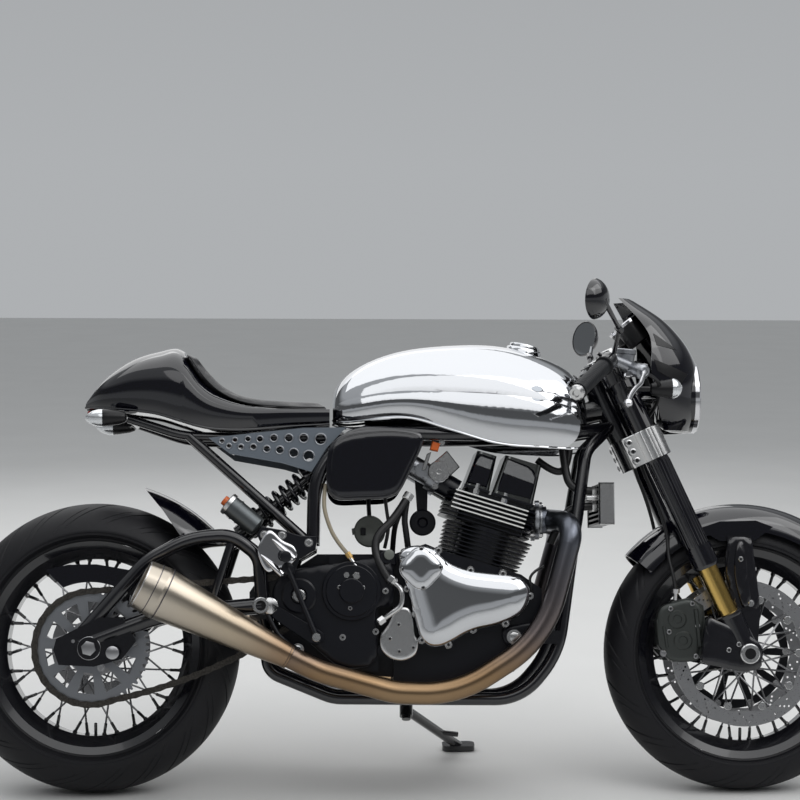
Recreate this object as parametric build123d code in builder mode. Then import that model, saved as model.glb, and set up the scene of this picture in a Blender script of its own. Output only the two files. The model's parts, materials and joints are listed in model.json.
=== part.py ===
from build123d import *
import os
from math import acos, asin, atan2, ceil, cos, degrees, hypot, pi, radians, sin, tan

# A cafe racer motorcycle with an air-cooled parallel twin, parked on its side stand.
# Millimetres and degrees. The pieces are modelled with the machine upright: X runs forward, Y to the
# left and Z up, from the point on the ground midway between the wheels. At the end everything is
# leaned on to the side stand together.

# Stance
WHEELBASE = 1420
RAKE = 24.5
TRAIL = 99
LEAN = 12

# Wheels: tyre radius and width, drop from the crown to the shoulder, half width between the beads
FRONT_RADIUS, FRONT_WIDTH, FRONT_DROP, FRONT_BEAD = 300, 120, 50, 44
REAR_RADIUS, REAR_WIDTH, REAR_DROP, REAR_BEAD = 315, 180, 60, 70
RIM_RADIUS = 230
RIM_SHOULDER = 214
RIM_BED = 192
RIM_FLANGE = 6
BEAD_GAP = 0.4
SPOKE_RADIUS = 2.2
SPOKE_PAIRS = 9

# Brakes
FRONT_DISC_RADIUS, FRONT_DISC_BORE, FRONT_DISC_Y = 160, 126, 64
CARRIER_RADIUS = 125.7
REAR_DISC_RADIUS, REAR_DISC_BORE, REAR_DISC_Y = 110, 82, 84
DISC_THICKNESS = 5

# Chain drive
CHAIN_PITCH = 15.875
CHAIN_Y = -107
CHAIN_GAP = 4.75
CHAIN_PLATE = 4.25
CHAIN_HEIGHT = 7.5
CHAIN_WAIST = 5.8
CHAIN_LINKS = 108
CHAIN_SAG = 26
ROLLER_RADIUS = 5
REAR_TEETH, DRIVE_TEETH = 48, 17
SPROCKET_THICKNESS = 6
DRIVE_X, DRIVE_Z = -264, 426

# Fork and steering head
FORK_Y = 104
STANCHION_RADIUS = 21.5
FORK_OUTER_RADIUS = 26.5
YOKE_BORE = 26.8
FORK_COLLAR_RADIUS = 29
FORK_FOOT_TOP, FORK_SLIDER_TOP, FORK_TOP = 92, 212, 716
LOWER_YOKE_FROM, LOWER_YOKE_TO = 466, 536
UPPER_YOKE_FROM, UPPER_YOKE_TO = 686, 706
STEM_RADIUS = 14
HEAD_RADIUS, HEAD_BORE = 31, 17
STEERING_RANGE = 27

# Frame
RAIL_RADIUS = 14
SPINE_RADIUS = 26
CRADLE_Y = 104
PIVOT_X, PIVOT_Z = -344, 405
PIVOT_RADIUS = 19
ARM_Y = 138
ARM_RADIUS = 15
BOSS_X, BOSS_Z, BOSS_FACE = -243, 539, 129
SPOOL_X, SPOOL_Z, SPOOL_BORE = -658, 306, 4

# Engine
CYLINDER_TILT = 17
DECK_X, DECK_Z = 127, 499
CASE_HALF = 108
GEARBOX_HALF = 88
BARREL_HEIGHT = 76
FIN_THICKNESS = 2.6
BARREL_FINS = 8
HEAD_FINS = 7
HEAD_HEIGHT = 142
COVER_Y = -160
PORT_X, PORT_Z = 268, 592
INLET_DIR = Vector(-0.864, 0, 0.504).normalized()

# Exhaust
PIPE_RADIUS = 24
MEGAPHONE_RADIUS, OUTLET_RADIUS = 57, 52

# Side stand
STAND_PIVOT = (-25, 112, 170)
STAND_FOOT_X, STAND_FOOT_Y = 105, 322
STAND_PAD = 8
STAND_RADIUS = 11

REAR_X, FRONT_X = -WHEELBASE / 2, WHEELBASE / 2
FORK_DIR = Vector(-sin(radians(RAKE)), 0, cos(radians(RAKE)))
FORK_FORWARD = Vector(cos(radians(RAKE)), 0, sin(radians(RAKE)))
HEAD_BASE = Vector(FRONT_X + TRAIL, 0, 0)
GUARD_RADIUS, GUARD_SIDE = FRONT_RADIUS + 28, FRONT_RADIUS - 32
GUARD_HALF, GUARD_WALL = 72, 3
GUARD_FROM, GUARD_TO = 52, 139
FORK_OFFSET = (Vector(FRONT_X, 0, FRONT_RADIUS) - HEAD_BASE).dot(FORK_FORWARD)
CYLINDER_UP = Vector(sin(radians(CYLINDER_TILT)), 0, cos(radians(CYLINDER_TILT)))
CYLINDER_FORWARD = Vector(cos(radians(CYLINDER_TILT)), 0, -sin(radians(CYLINDER_TILT)))
GROUND_UP = Vector(0, -sin(radians(LEAN)), cos(radians(LEAN)))
STAND_HEAD = Vector(*STAND_PIVOT)
STAND_GROUND = Vector(STAND_FOOT_X, STAND_FOOT_Y, STAND_FOOT_Y * tan(radians(LEAN)))
STAND_LEG = STAND_GROUND + GROUND_UP * STAND_PAD - STAND_HEAD
STAND_FOLDED = Vector(-0.97, 0.2, -0.08)
STAND_AXIS = STAND_LEG.cross(STAND_FOLDED).normalized()
SHOCK_FOOT = Vector(-414, 0, 545)
SHOCK_TOP = Vector(-225, 0, 701)
SHOCK_Y = 60

pieces = {}


def keep(part, name):
    """Labels a finished piece and remembers it for the export."""
    part.label = name
    pieces[name] = part


def fork_point(up, side=0.0, ahead=0.0):
    """A point on a fork leg, measured up the leg from the axle, sideways and ahead of the leg."""
    return Vector(FRONT_X, side, FRONT_RADIUS) + FORK_DIR * up + FORK_FORWARD * ahead


def fork_plane(up, side=0.0, ahead=0.0):
    """A plane square to the fork, its x axis forward and its z axis up the leg."""
    return Plane(origin=fork_point(up, side, ahead), x_dir=FORK_FORWARD, z_dir=FORK_DIR)


def front_point(x, y, z):
    """A point measured from the middle of the front axle."""
    return Vector(FRONT_X + x, y, FRONT_RADIUS + z)


def front_plane(y):
    """The side view at a distance y, centred on the front axle."""
    return Plane(origin=front_point(0, y, 0), x_dir=(1, 0, 0), z_dir=(0, -1, 0))


def head_point(up):
    """A point on the steering axis at the same height up the fork as fork_point."""
    return fork_point(up) - FORK_FORWARD * FORK_OFFSET


def cylinder_plane(up, ahead=0.0):
    """A plane square to the cylinders, measured up from the deck and ahead of their axis."""
    origin = Vector(DECK_X, 0, DECK_Z) + CYLINDER_UP * up + CYLINDER_FORWARD * ahead
    return Plane(origin=origin, x_dir=CYLINDER_FORWARD, z_dir=CYLINDER_UP)


def side_plane(y):
    """The upright plane seen from the right-hand side, with x forward, y up and its normal to the right."""
    return Plane(origin=(0, y, 0), x_dir=(1, 0, 0), z_dir=(0, -1, 0))


def axle_plane(x, z):
    """The cross plane through an axle: x along the axle, y up."""
    return Plane(origin=(x, 0, z), x_dir=(0, 1, 0), z_dir=(1, 0, 0))


def tube(route, bends, radius):
    """Adds a round tube along straight runs joined by arcs."""
    with BuildLine() as path:
        FilletPolyline(*route, radius=bends)
    with BuildSketch(Plane(origin=path.line @ 0, z_dir=path.line % 0)) as end:
        Circle(radius)
    sweep(end.sketch, path=path.line)


def rod(start, end, radius, bore=0.0, mode=Mode.ADD):
    """Adds or cuts a straight round rod or tube between two points."""
    run = Vector(end) - Vector(start)
    with BuildSketch(Plane(origin=start, z_dir=run.normalized())) as disc:
        Circle(radius)
        if bore:
            Circle(bore, mode=Mode.SUBTRACT)
    extrude(disc.sketch, amount=run.length, mode=mode)


# Wheels

WHEELS = (  # name, axle x, axle z, tyre width, drop to the shoulder, half width at the beads
    ("front", FRONT_X, FRONT_RADIUS, FRONT_WIDTH, FRONT_DROP, FRONT_BEAD),
    ("rear", REAR_X, REAR_RADIUS, REAR_WIDTH, REAR_DROP, REAR_BEAD),
)

for name, axle_x, axle_z, width, drop, bead in WHEELS:
    spin = Axis((axle_x, 0, axle_z), (0, 1, 0))
    section = axle_plane(axle_x, axle_z)
    half = width / 2
    crown = (half**2 + drop**2) / (2 * drop)
    shoulder = asin(half / crown)
    hoop = [
        (crown * sin(shoulder * step / 2), axle_z - crown + crown * cos(shoulder * step / 2))
        for step in (-2, -1, 0, 1, 2)
    ]
    lip = bead + RIM_FLANGE

    with BuildPart() as tyre:
        with BuildSketch(section):
            with BuildLine():
                Polyline((-lip, RIM_RADIUS + BEAD_GAP), *hoop, (lip, RIM_RADIUS + BEAD_GAP), close=True)
            make_face()
        revolve(axis=spin)
    keep(tyre.part, f"{name}_tyre")

    with BuildPart() as rim:
        with BuildSketch(section):
            with BuildLine():
                Polyline(
                    (-lip, RIM_RADIUS), (-bead, RIM_SHOULDER), (-0.4 * bead, RIM_BED),
                    (0.4 * bead, RIM_BED), (bead, RIM_SHOULDER), (lip, RIM_RADIUS), close=True,
                )
            make_face()
        revolve(axis=spin)
    keep(rim.part, f"{name}_rim")

HUBS = (  # name, axle x, axle z, flange radius, flange y, barrel radius, half length, axle hole radius
    ("front", FRONT_X, FRONT_RADIUS, 44, 36, 27, 54, 12),
    ("rear", REAR_X, REAR_RADIUS, 62, 52, 36, 74, 14),
)

for name, axle_x, axle_z, flange, flange_y, barrel_radius, reach, hole in HUBS:
    spin = Axis((axle_x, 0, axle_z), (0, 1, 0))
    with BuildPart() as hub:
        with BuildSketch(axle_plane(axle_x, axle_z)):
            with BuildLine():
                Polyline(
                    (-reach, hole), (-reach, barrel_radius), (-flange_y - 4, flange), (-flange_y + 4, flange),
                    (-flange_y + 12, barrel_radius), (flange_y - 12, barrel_radius), (flange_y - 4, flange),
                    (flange_y + 4, flange), (reach, barrel_radius), (reach, hole), close=True,
                )
            make_face()
        revolve(axis=spin)
        # Crossed wire spokes: each pair leaves one flange and leans both ways along the rim
        for pair in range(2 * SPOKE_PAIRS):
            side = 1 if pair % 2 else -1
            turn = 180 / SPOKE_PAIRS * pair
            for lay in (-1, 1):
                inner = radians(turn - lay * 38)
                outer = radians(turn + lay * 4.5)
                root_radius = flange - 5
                start = Vector(
                    axle_x + root_radius * cos(inner), side * flange_y, axle_z + root_radius * sin(inner)
                )
                end = Vector(
                    axle_x + (RIM_BED + 3) * cos(outer), side * 8, axle_z + (RIM_BED + 3) * sin(outer)
                )
                run = end - start
                with BuildSketch(Plane(origin=start, z_dir=run.normalized())):
                    RegularPolygon(SPOKE_RADIUS, 5)
        extrude(amount=run.length)
        with BuildSketch(side_plane(0)):
            with Locations((axle_x, axle_z)):
                Circle(RIM_BED)
        extrude(amount=reach, both=True, mode=Mode.INTERSECT)
    keep(hub.part, f"{name}_hub")

with BuildPart() as front_discs:
    for side in (-1, 1):
        with BuildSketch(side_plane(side * FRONT_DISC_Y)):
            with Locations((FRONT_X, FRONT_RADIUS)):
                Circle(FRONT_DISC_RADIUS)
                Circle(FRONT_DISC_BORE, mode=Mode.SUBTRACT)
        extrude(amount=DISC_THICKNESS / 2, both=True)
keep(front_discs.part, "front_discs")

CARRIER_ARMS = 10
with BuildPart() as disc_carriers:
    for side in (-1, 1):
        with BuildSketch(side_plane(side * (FRONT_DISC_Y - 1))):
            with Locations((FRONT_X, FRONT_RADIUS)):
                Circle(CARRIER_RADIUS)
                Circle(14, mode=Mode.SUBTRACT)
                with PolarLocations(80, CARRIER_ARMS, start_angle=18):
                    Trapezoid(50, 52, 75, rotation=90, mode=Mode.SUBTRACT)
        extrude(amount=2.5, both=True)
        # Boss that carries the disc on the hub
        inner, outer = (-FRONT_DISC_Y + 3.5, -54) if side < 0 else (54, FRONT_DISC_Y - 3.5)
        rod((FRONT_X, inner, FRONT_RADIUS), (FRONT_X, outer, FRONT_RADIUS), 34, bore=14)
        rod((FRONT_X, side * FRONT_DISC_Y, FRONT_RADIUS), (FRONT_X, side * 80, FRONT_RADIUS), 19, bore=14)
keep(disc_carriers.part, "disc_carriers")

with BuildPart() as rear_disc:
    with BuildSketch(side_plane(REAR_DISC_Y)):
        with Locations((REAR_X, REAR_RADIUS)):
            Circle(REAR_DISC_RADIUS)
            Circle(REAR_DISC_BORE, mode=Mode.SUBTRACT)
            with PolarLocations(55, 3):
                Rectangle(64, 26)
            Circle(38)
            Circle(16, mode=Mode.SUBTRACT)
    extrude(amount=DISC_THICKNESS / 2, both=True)
    rod((REAR_X, 74, REAR_RADIUS), (REAR_X, REAR_DISC_Y, REAR_RADIUS), 34, bore=16)
    rod((REAR_X, REAR_DISC_Y, REAR_RADIUS), (REAR_X, ARM_Y - 19, REAR_RADIUS), 20, bore=16)
keep(rear_disc.part, "rear_disc")


def pitch_radius(teeth):
    """The radius at which the rollers sit round a chain wheel."""
    return CHAIN_PITCH / (2 * sin(pi / teeth))


def toothed(teeth, x, z, turn=0.0):
    """Sketches a chain wheel: a root circle with pointed teeth between the rollers."""
    radius = pitch_radius(teeth)
    outline = []
    for tooth in range(teeth):
        middle = 2 * pi * tooth / teeth + turn
        for reach, swing in ((-5.2, -0.36), (4.6, -0.1), (4.6, 0.1), (-5.2, 0.36)):
            angle = middle + swing * 2 * pi / teeth
            outline.append((x + (radius + reach) * cos(angle), z + (radius + reach) * sin(angle)))
    with BuildLine() as rim_line:
        Polyline(*outline, close=True)
    make_face(rim_line.edges())


SPROCKET_WINDOWS = 10
with BuildPart() as sprocket:
    with BuildSketch(side_plane(CHAIN_Y)):
        toothed(REAR_TEETH, REAR_X, REAR_RADIUS)
        with Locations((REAR_X, REAR_RADIUS)):
            Circle(16, mode=Mode.SUBTRACT)
            with PolarLocations(76, SPROCKET_WINDOWS, start_angle=12):
                Trapezoid(38, 44, 78, rotation=90, mode=Mode.SUBTRACT)
    extrude(amount=SPROCKET_THICKNESS / 2, both=True)
    rod((REAR_X, CHAIN_Y + 3, REAR_RADIUS), (REAR_X, -74, REAR_RADIUS), 44, bore=16)
    rod((REAR_X, CHAIN_Y - 3, REAR_RADIUS), (REAR_X, 19 - ARM_Y, REAR_RADIUS), 20, bore=16)
keep(sprocket.part, "sprocket")

# Chain: a closed loop round both chain wheels, sagging in its lower run

rear_pitch, drive_pitch = pitch_radius(REAR_TEETH), pitch_radius(DRIVE_TEETH)
centres = hypot(DRIVE_X - REAR_X, DRIVE_Z - REAR_RADIUS)
rise = atan2(DRIVE_Z - REAR_RADIUS, DRIVE_X - REAR_X)
flare = asin((rear_pitch - drive_pitch) / centres)
upper_normal = rise + pi / 2 - flare
lower_normal = rise - pi / 2 + flare


def on_circle(x, z, radius, angle):
    """A point on a circle in the side view."""
    return Vector(x + radius * cos(angle), z + radius * sin(angle))


upper_rear = on_circle(REAR_X, REAR_RADIUS, rear_pitch, upper_normal)
upper_drive = on_circle(DRIVE_X, DRIVE_Z, drive_pitch, upper_normal)
lower_rear = on_circle(REAR_X, REAR_RADIUS, rear_pitch, lower_normal)
lower_drive = on_circle(DRIVE_X, DRIVE_Z, drive_pitch, lower_normal)
sag_point = (lower_rear + lower_drive) * 0.5 - Vector(0, CHAIN_SAG)

with BuildLine() as pitch_line:
    Line(upper_rear, upper_drive)
    ThreePointArc(upper_drive, on_circle(DRIVE_X, DRIVE_Z, drive_pitch, rise), lower_drive)
    ThreePointArc(lower_drive, sag_point, lower_rear)
    ThreePointArc(lower_rear, on_circle(REAR_X, REAR_RADIUS, rear_pitch, rise + pi), upper_rear)
chain_loop = pitch_line.wires()[0]


def chain_points(offset, waist):
    """Points beside the pitch line, one to a link, at alternating offsets."""
    points = []
    for link in range(CHAIN_LINKS):
        share = link / CHAIN_LINKS
        ahead = chain_loop % share
        outward = Vector(-ahead.Y, ahead.X)
        points.append(chain_loop @ share + outward * (offset if link % 2 else waist))
    return points


with BuildPart() as chain:
    for inner in (CHAIN_GAP, -CHAIN_GAP - CHAIN_PLATE):
        with BuildSketch(side_plane(CHAIN_Y + inner + CHAIN_PLATE)):
            with BuildLine():
                Polyline(*chain_points(CHAIN_HEIGHT, CHAIN_WAIST), close=True)
            make_face()
            with BuildLine():
                Polyline(*chain_points(-CHAIN_HEIGHT, -CHAIN_WAIST), close=True)
            make_face(mode=Mode.SUBTRACT)
        extrude(amount=CHAIN_PLATE)
    for link in range(0, CHAIN_LINKS, 2):
        spot = chain_loop @ (link / CHAIN_LINKS)
        clear_rear = hypot(spot.X - REAR_X, spot.Y - REAR_RADIUS) > rear_pitch + 11
        clear_drive = hypot(spot.X - DRIVE_X, spot.Y - DRIVE_Z) > drive_pitch + 11
        if clear_rear and clear_drive:
            with BuildSketch(side_plane(CHAIN_Y + CHAIN_GAP)):
                with Locations((spot.X, spot.Y)):
                    RegularPolygon(ROLLER_RADIUS, 6)
    extrude(amount=2 * CHAIN_GAP)
    # Drive sprocket on the gearbox shaft
    with BuildSketch(side_plane(CHAIN_Y)):
        toothed(DRIVE_TEETH, DRIVE_X, DRIVE_Z)
    extrude(amount=SPROCKET_THICKNESS / 2, both=True)
    rod((DRIVE_X, CHAIN_Y, DRIVE_Z), (DRIVE_X, -GEARBOX_HALF, DRIVE_Z), 16)
keep(chain.part, "chain")

# Frame

neck = head_point(576)
with BuildPart() as frame:
    # Downtube and cradle
    tube(
        [(neck.X - 10, 16, neck.Z - 5), (neck.X - 72, 52, neck.Z - 65),
         (338, 78, 560), (298, 96, 300), (215, CRADLE_Y, 203),
         (-190, CRADLE_Y - 10, 206), (-330, 78, 262), (-345, 78, 400)],
        [60, 120, 200, 120, 100, 40], RAIL_RADIUS,
    )
    # Top rail under the tank, down into the seat tube
    tube(
        [(neck.X - 10, 16, neck.Z - 10), (330, 60, 782), (40, 96, 778), (-150, 106, 782), (-232, 114, 690),
         (BOSS_X + 8, 114, BOSS_Z)],
        [80, 200, 90, 150], RAIL_RADIUS,
    )
    # Pivot plate from the boss to the swingarm spindle
    with BuildSketch(side_plane(90)):
        with BuildLine():
            Polyline(
                (-232, 552), (-232, 524), (-283, 492), (-320, 430), (-320, 372),
                (-372, 372), (-372, 434), (-338, 484), (-272, 552), close=True,
            )
        make_face()
    extrude(amount=14)
    # Lugs for the engine: in front of the crankcase and under it
    with BuildSketch(side_plane(-CASE_HALF)):
        with BuildLine():
            Polyline((186, 322), (300, 322), (308, 350), (196, 352), close=True)
        make_face()
    extrude(amount=6)
    rod((20, -96, 210), (20, -96, 236), 9)
    # Seat rail and its stay
    tube([(-168, -92, 772), (-300, -92, 768), (-520, -84, 774), (-640, -56, 814)], [400, 200], 10)
    rod((-506, -86, 774), (BOSS_X - 10, -108, BOSS_Z + 10), 11)
    # Side stand lug
    mirror(about=Plane.XZ)
    rod(STAND_HEAD + STAND_AXIS * 17, STAND_HEAD + STAND_AXIS * 32, 14)
    rod(STAND_HEAD - STAND_AXIS * 20, STAND_HEAD + STAND_AXIS * 18, 5.5)
    rod(STAND_HEAD - STAND_AXIS * 23, STAND_HEAD - STAND_AXIS * 17, 10)
    rod((-500, -85, 773), (-500, 85, 773), 9)
    rod((-630, -60, 810), (-630, 60, 810), 9)
    rod((SHOCK_TOP.X, -112, SHOCK_TOP.Z), (SHOCK_TOP.X, 112, SHOCK_TOP.Z), 9)
    rod((BOSS_X, -BOSS_FACE, BOSS_Z), (BOSS_X, BOSS_FACE, BOSS_Z), 16)
    rod((PIVOT_X, -92, PIVOT_Z), (PIVOT_X, 92, PIVOT_Z), 30)
    rod((PIVOT_X, -92, PIVOT_Z), (PIVOT_X, 92, PIVOT_Z), PIVOT_RADIUS, mode=Mode.SUBTRACT)
    # Spine and steering head
    tube([(neck.X - 15, 0, neck.Z + 35), (300, 0, 815), (-120, 0, 790)], [120], SPINE_RADIUS)
    rod((-120, -100, 784), (-120, 100, 784), 13)
    rod(head_point(536), head_point(680), HEAD_RADIUS)
    rod(head_point(530), head_point(690), HEAD_BORE, mode=Mode.SUBTRACT)
keep(frame.part, "frame")

# Swingarm

with BuildPart() as swingarm:
    # Upper arch, over the chain
    tube(
        [(-735, -ARM_Y, 338), (-592, -ARM_Y, 500), (-500, -ARM_Y, 550), (-408, -ARM_Y, 556),
         (-350, -ARM_Y, 512), (-342, -ARM_Y, PIVOT_Z)],
        [150, 200, 80, 50], ARM_RADIUS,
    )
    # Lower tube
    tube([(-730, -ARM_Y, 322), (-560, -ARM_Y, 385), (PIVOT_X, -ARM_Y, PIVOT_Z)], [300], ARM_RADIUS + 3)
    # Brace between them
    rod((-456, -ARM_Y, 396), (-410, -ARM_Y, 540), 9)
    # Dropout
    with BuildSketch(side_plane(-ARM_Y + 15)):
        with BuildLine():
            Polyline(
                (-786, 312), (-774, 280), (-700, 276), (-640, 292), (-610, 330), (-640, 380),
                (-690, 380), (-780, 335), close=True,
            )
        make_face()
    extrude(amount=30)
    # Paddock stand spool
    rod((SPOOL_X, -ARM_Y - 15, SPOOL_Z), (SPOOL_X, -ARM_Y - 40, SPOOL_Z), 10)
    rod((SPOOL_X, -ARM_Y - 32, SPOOL_Z), (SPOOL_X, -ARM_Y - 40, SPOOL_Z), 15)
    rod((SPOOL_X, -ARM_Y - 41, SPOOL_Z), (SPOOL_X, -ARM_Y - 20, SPOOL_Z), SPOOL_BORE, mode=Mode.SUBTRACT)
    # Stay for the hugger
    rod((-516, -ARM_Y, 545), (-516, -107, 557), 5)
    # Axle ends
    rod((REAR_X, 0, REAR_RADIUS), (REAR_X, -ARM_Y - 24, REAR_RADIUS), 13.5)
    rod((REAR_X, -ARM_Y - 15, REAR_RADIUS), (REAR_X, -ARM_Y - 20, REAR_RADIUS), 24)
    mirror(about=Plane.XZ)
    rod((PIVOT_X, -ARM_Y - 14, PIVOT_Z), (PIVOT_X, ARM_Y + 14, PIVOT_Z), PIVOT_RADIUS - 0.3)
    rod((SHOCK_FOOT.X, -ARM_Y, SHOCK_FOOT.Z), (SHOCK_FOOT.X, ARM_Y, SHOCK_FOOT.Z), 9)
    # Brake caliper on the left dropout, straddling its disc
    with BuildSketch(side_plane(104)):
        with BuildLine():
            Polyline((-648, 372), (-612, 340), (-584, 366), (-600, 412), (-634, 424), close=True)
        make_face()
    extrude(amount=38)
    with BuildSketch(side_plane(REAR_DISC_Y)):
        with Locations((REAR_X, REAR_RADIUS)):
            Circle(REAR_DISC_RADIUS + 6)
    extrude(amount=DISC_THICKNESS / 2 + 5, both=True, mode=Mode.SUBTRACT)
    rod((-632, 100, 366), (-632, ARM_Y, 366), 9)
keep(swingarm.part, "swingarm")

# Shock absorbers with their springs and remote reservoirs

shock_run = SHOCK_TOP - SHOCK_FOOT
SHOCK_DIR = shock_run.normalized()
SPRING_COILS = 7
with BuildPart() as shocks:
    for side in (-1, 1):
        foot = SHOCK_FOOT + Vector(0, side * SHOCK_Y, 0)
        head = SHOCK_TOP + Vector(0, side * SHOCK_Y, 0)
        with BuildSketch(Plane(origin=foot, x_dir=SHOCK_DIR, z_dir=Vector(0, -1, 0))):
            with BuildLine():
                profile = [(0, 0), (0, 12), (20, 12), (20, 20), (70, 20), (70, 29), (78, 29)]
                step = (shock_run.length - 78 - 30) / SPRING_COILS
                for coil in range(SPRING_COILS):
                    along = 78 + coil * step
                    profile += [(along, 19), (along + 0.3 * step, 29), (along + 0.7 * step, 29)]
                end = shock_run.length
                profile += [(end - 30, 19), (end - 30, 29), (end - 20, 29)]
                profile += [(end - 20, 12), (end, 12), (end, 0)]
                Polyline(*profile, close=True)
            make_face()
        revolve(axis=Axis(foot, SHOCK_DIR))
        for eye in (foot, head):
            rod(eye - Vector(0, 15, 0), eye + Vector(0, 15, 0), 15)
            rod(eye - Vector(0, 16, 0), eye + Vector(0, 16, 0), 9.4, mode=Mode.SUBTRACT)
        # Remote reservoir
        rod((-414, side * 122, 622), (-352, side * 122, 571), 23)
        rod((-421, side * 122, 628), (-414, side * 122, 622), 26)
        rod((-376, side * 72, 587), (-383, side * 110, 596), 9)
keep(shocks.part, "shocks")

# Engine

with BuildPart() as crankcase:
    # Crank half under the cylinders
    with BuildSketch(side_plane(0)):
        with BuildLine():
            Polyline(
                (-60, 516), (10, 538), (DECK_X - 93 * CYLINDER_FORWARD.X, DECK_Z - 93 * CYLINDER_FORWARD.Z),
                (DECK_X + 95 * CYLINDER_FORWARD.X, DECK_Z + 95 * CYLINDER_FORWARD.Z),
                (262, 440), (262, 330), (200, 262), (70, 236), (-60, 236), close=True,
            )
        make_face()
    extrude(amount=CASE_HALF, both=True)
    # Gearbox half
    with BuildSketch(side_plane(0)):
        with BuildLine():
            Polyline(
                (-300, 300), (-312, 420), (-280, 480), (-225, 516), (-60, 516), (-60, 250), (-210, 262),
                close=True,
            )
        make_face()
    extrude(amount=GEARBOX_HALF, both=True)
    # Land that carries the gearbox cover beyond the chain wheel
    with BuildSketch(side_plane(-GEARBOX_HALF)):
        with BuildLine():
            Polyline((-200, 512), (-60, 512), (-60, 404), (-93, 398), (-93, 262), (-190, 272), close=True)
        make_face()
    extrude(amount=34)
keep(crankcase.part, "crankcase")

with BuildPart() as barrel:
    with BuildSketch(cylinder_plane(0)):
        with Locations((0, -46), (0, 46)):
            Circle(58)
        Rectangle(70, 110)
    extrude(amount=BARREL_HEIGHT)
    fin_pitch = (BARREL_HEIGHT - 4) / BARREL_FINS
    for fin in range(BARREL_FINS):
        lower = 4 + fin * fin_pitch
        with BuildSketch(cylinder_plane(lower, ahead=0.6 * fin)):
            RectangleRounded(176 + 2.6 * fin, 196, 16)
        extrude(amount=FIN_THICKNESS)
keep(barrel.part, "barrel")

with BuildPart() as cylinder_head:
    with BuildSketch(cylinder_plane(BARREL_HEIGHT)):
        RectangleRounded(150, 176, 20)
    extrude(amount=HEAD_HEIGHT - BARREL_HEIGHT + 6)
    head_pitch = (HEAD_HEIGHT - BARREL_HEIGHT) / HEAD_FINS
    for fin in range(HEAD_FINS):
        lower = BARREL_HEIGHT + 3 + fin * head_pitch
        with BuildSketch(cylinder_plane(lower, ahead=-9)):
            RectangleRounded(204, 200, 34)
        extrude(amount=FIN_THICKNESS)
    for side in (-1, 1):
        # Exhaust port
        rod((190, side * 50, PORT_Z), (PORT_X, side * 50, PORT_Z), 24)
        # Inlet port
        rod(Vector(80, side * 50, 655), Vector(80, side * 50, 655) + INLET_DIR * 42, 26)
keep(cylinder_head.part, "cylinder_head")

with BuildPart() as rocker_boxes:
    for ahead, length, top, half in ((-50, 56, 92, 88), (31, 94, 100, 92)):
        with BuildSketch(cylinder_plane(HEAD_HEIGHT + 6, ahead)):
            RectangleRounded(length, 2 * half, 12)
        with BuildSketch(cylinder_plane(HEAD_HEIGHT + top, ahead)):
            RectangleRounded(length - 12, 2 * half - 14, 12)
        loft()
keep(rocker_boxes.part, "rocker_boxes")

with BuildPart() as timing_cover:
    with BuildSketch(side_plane(-CASE_HALF)):
        with BuildLine():
            ThreePointArc((-49, 500), (-25, 531), (30, 524))
            ThreePointArc((30, 524), (60, 497), (101, 480))
            Line((101, 480), (205, 468))
            ThreePointArc((205, 468), (234, 430), (205, 378))
            ThreePointArc((205, 378), (178, 365), (120, 353))
            ThreePointArc((120, 353), (92, 342), (70, 329))
            ThreePointArc((70, 329), (22, 311), (-8, 345))
            Line((-8, 345), (-49, 500))
        make_face()
        fillet(vertices(), 12)
    extrude(amount=-COVER_Y - CASE_HALF)
    chamfer(faces().sort_by(Axis.Y)[0].edges(), 9)
    # Four-lobed cap over the ignition
    with BuildSketch(side_plane(COVER_Y)):
        with Locations((-3, 484)):
            Circle(36)
        with Locations((-2, 525), (-41, 482), (2, 443), (39, 486)):
            Circle(9)
        with Locations((-3, 484)):
            Rectangle(58, 58, rotation=45)
    extrude(amount=6)
    # Alternator cover on the far side
    with BuildSketch(side_plane(CASE_HALF)):
        with BuildLine():
            ThreePointArc((60, 492), (-30, 510), (-120, 470))
            ThreePointArc((-120, 470), (-140, 390), (-90, 330))
            ThreePointArc((-90, 330), (20, 300), (120, 316))
            ThreePointArc((120, 316), (206, 400), (150, 480))
            Line((150, 480), (60, 492))
        make_face()
    extrude(amount=-46)
keep(timing_cover.part, "timing_cover")

with BuildPart() as gearbox_cover:
    with BuildSketch(side_plane(-GEARBOX_HALF - 34)):
        with BuildLine():
            ThreePointArc((-250, 486), (-324, 440), (-290, 370))
            Line((-290, 370), (-200, 290))
            ThreePointArc((-200, 290), (-150, 268), (-96, 284))
            Line((-96, 284), (-96, 398))
            Line((-96, 398), (-62, 412))
            Line((-62, 412), (-70, 505))
            Line((-70, 505), (-250, 486))
        make_face()
    extrude(amount=14)
    for x, z, radius, height in ((-150, 431, 64, 12), (-150, 431, 40, 20), (-264, 426, 36, 8)):
        with BuildSketch(side_plane(-GEARBOX_HALF - 48)):
            with Locations((x, z)):
                Circle(radius)
        extrude(amount=height)
    # Rounded cover of the oil filter, below the clutch
    with BuildSketch(side_plane(-CASE_HALF)):
        with Locations((-47, 330)):
            Circle(42)
        with BuildLine():
            Polyline((-86, 345), (-55, 398), (-26, 398), (-18, 360), (-20, 330), close=True)
        make_face()
    extrude(amount=40)
    with BuildSketch(side_plane(-CASE_HALF)):
        with BuildLine():
            Polyline((-49, 500), (-8, 345), (-8, 200), (200, 200), (200, 600), (-49, 600), close=True)
        make_face()
        offset(amount=4)
    extrude(amount=60, mode=Mode.SUBTRACT)
keep(gearbox_cover.part, "gearbox_cover")

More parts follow.
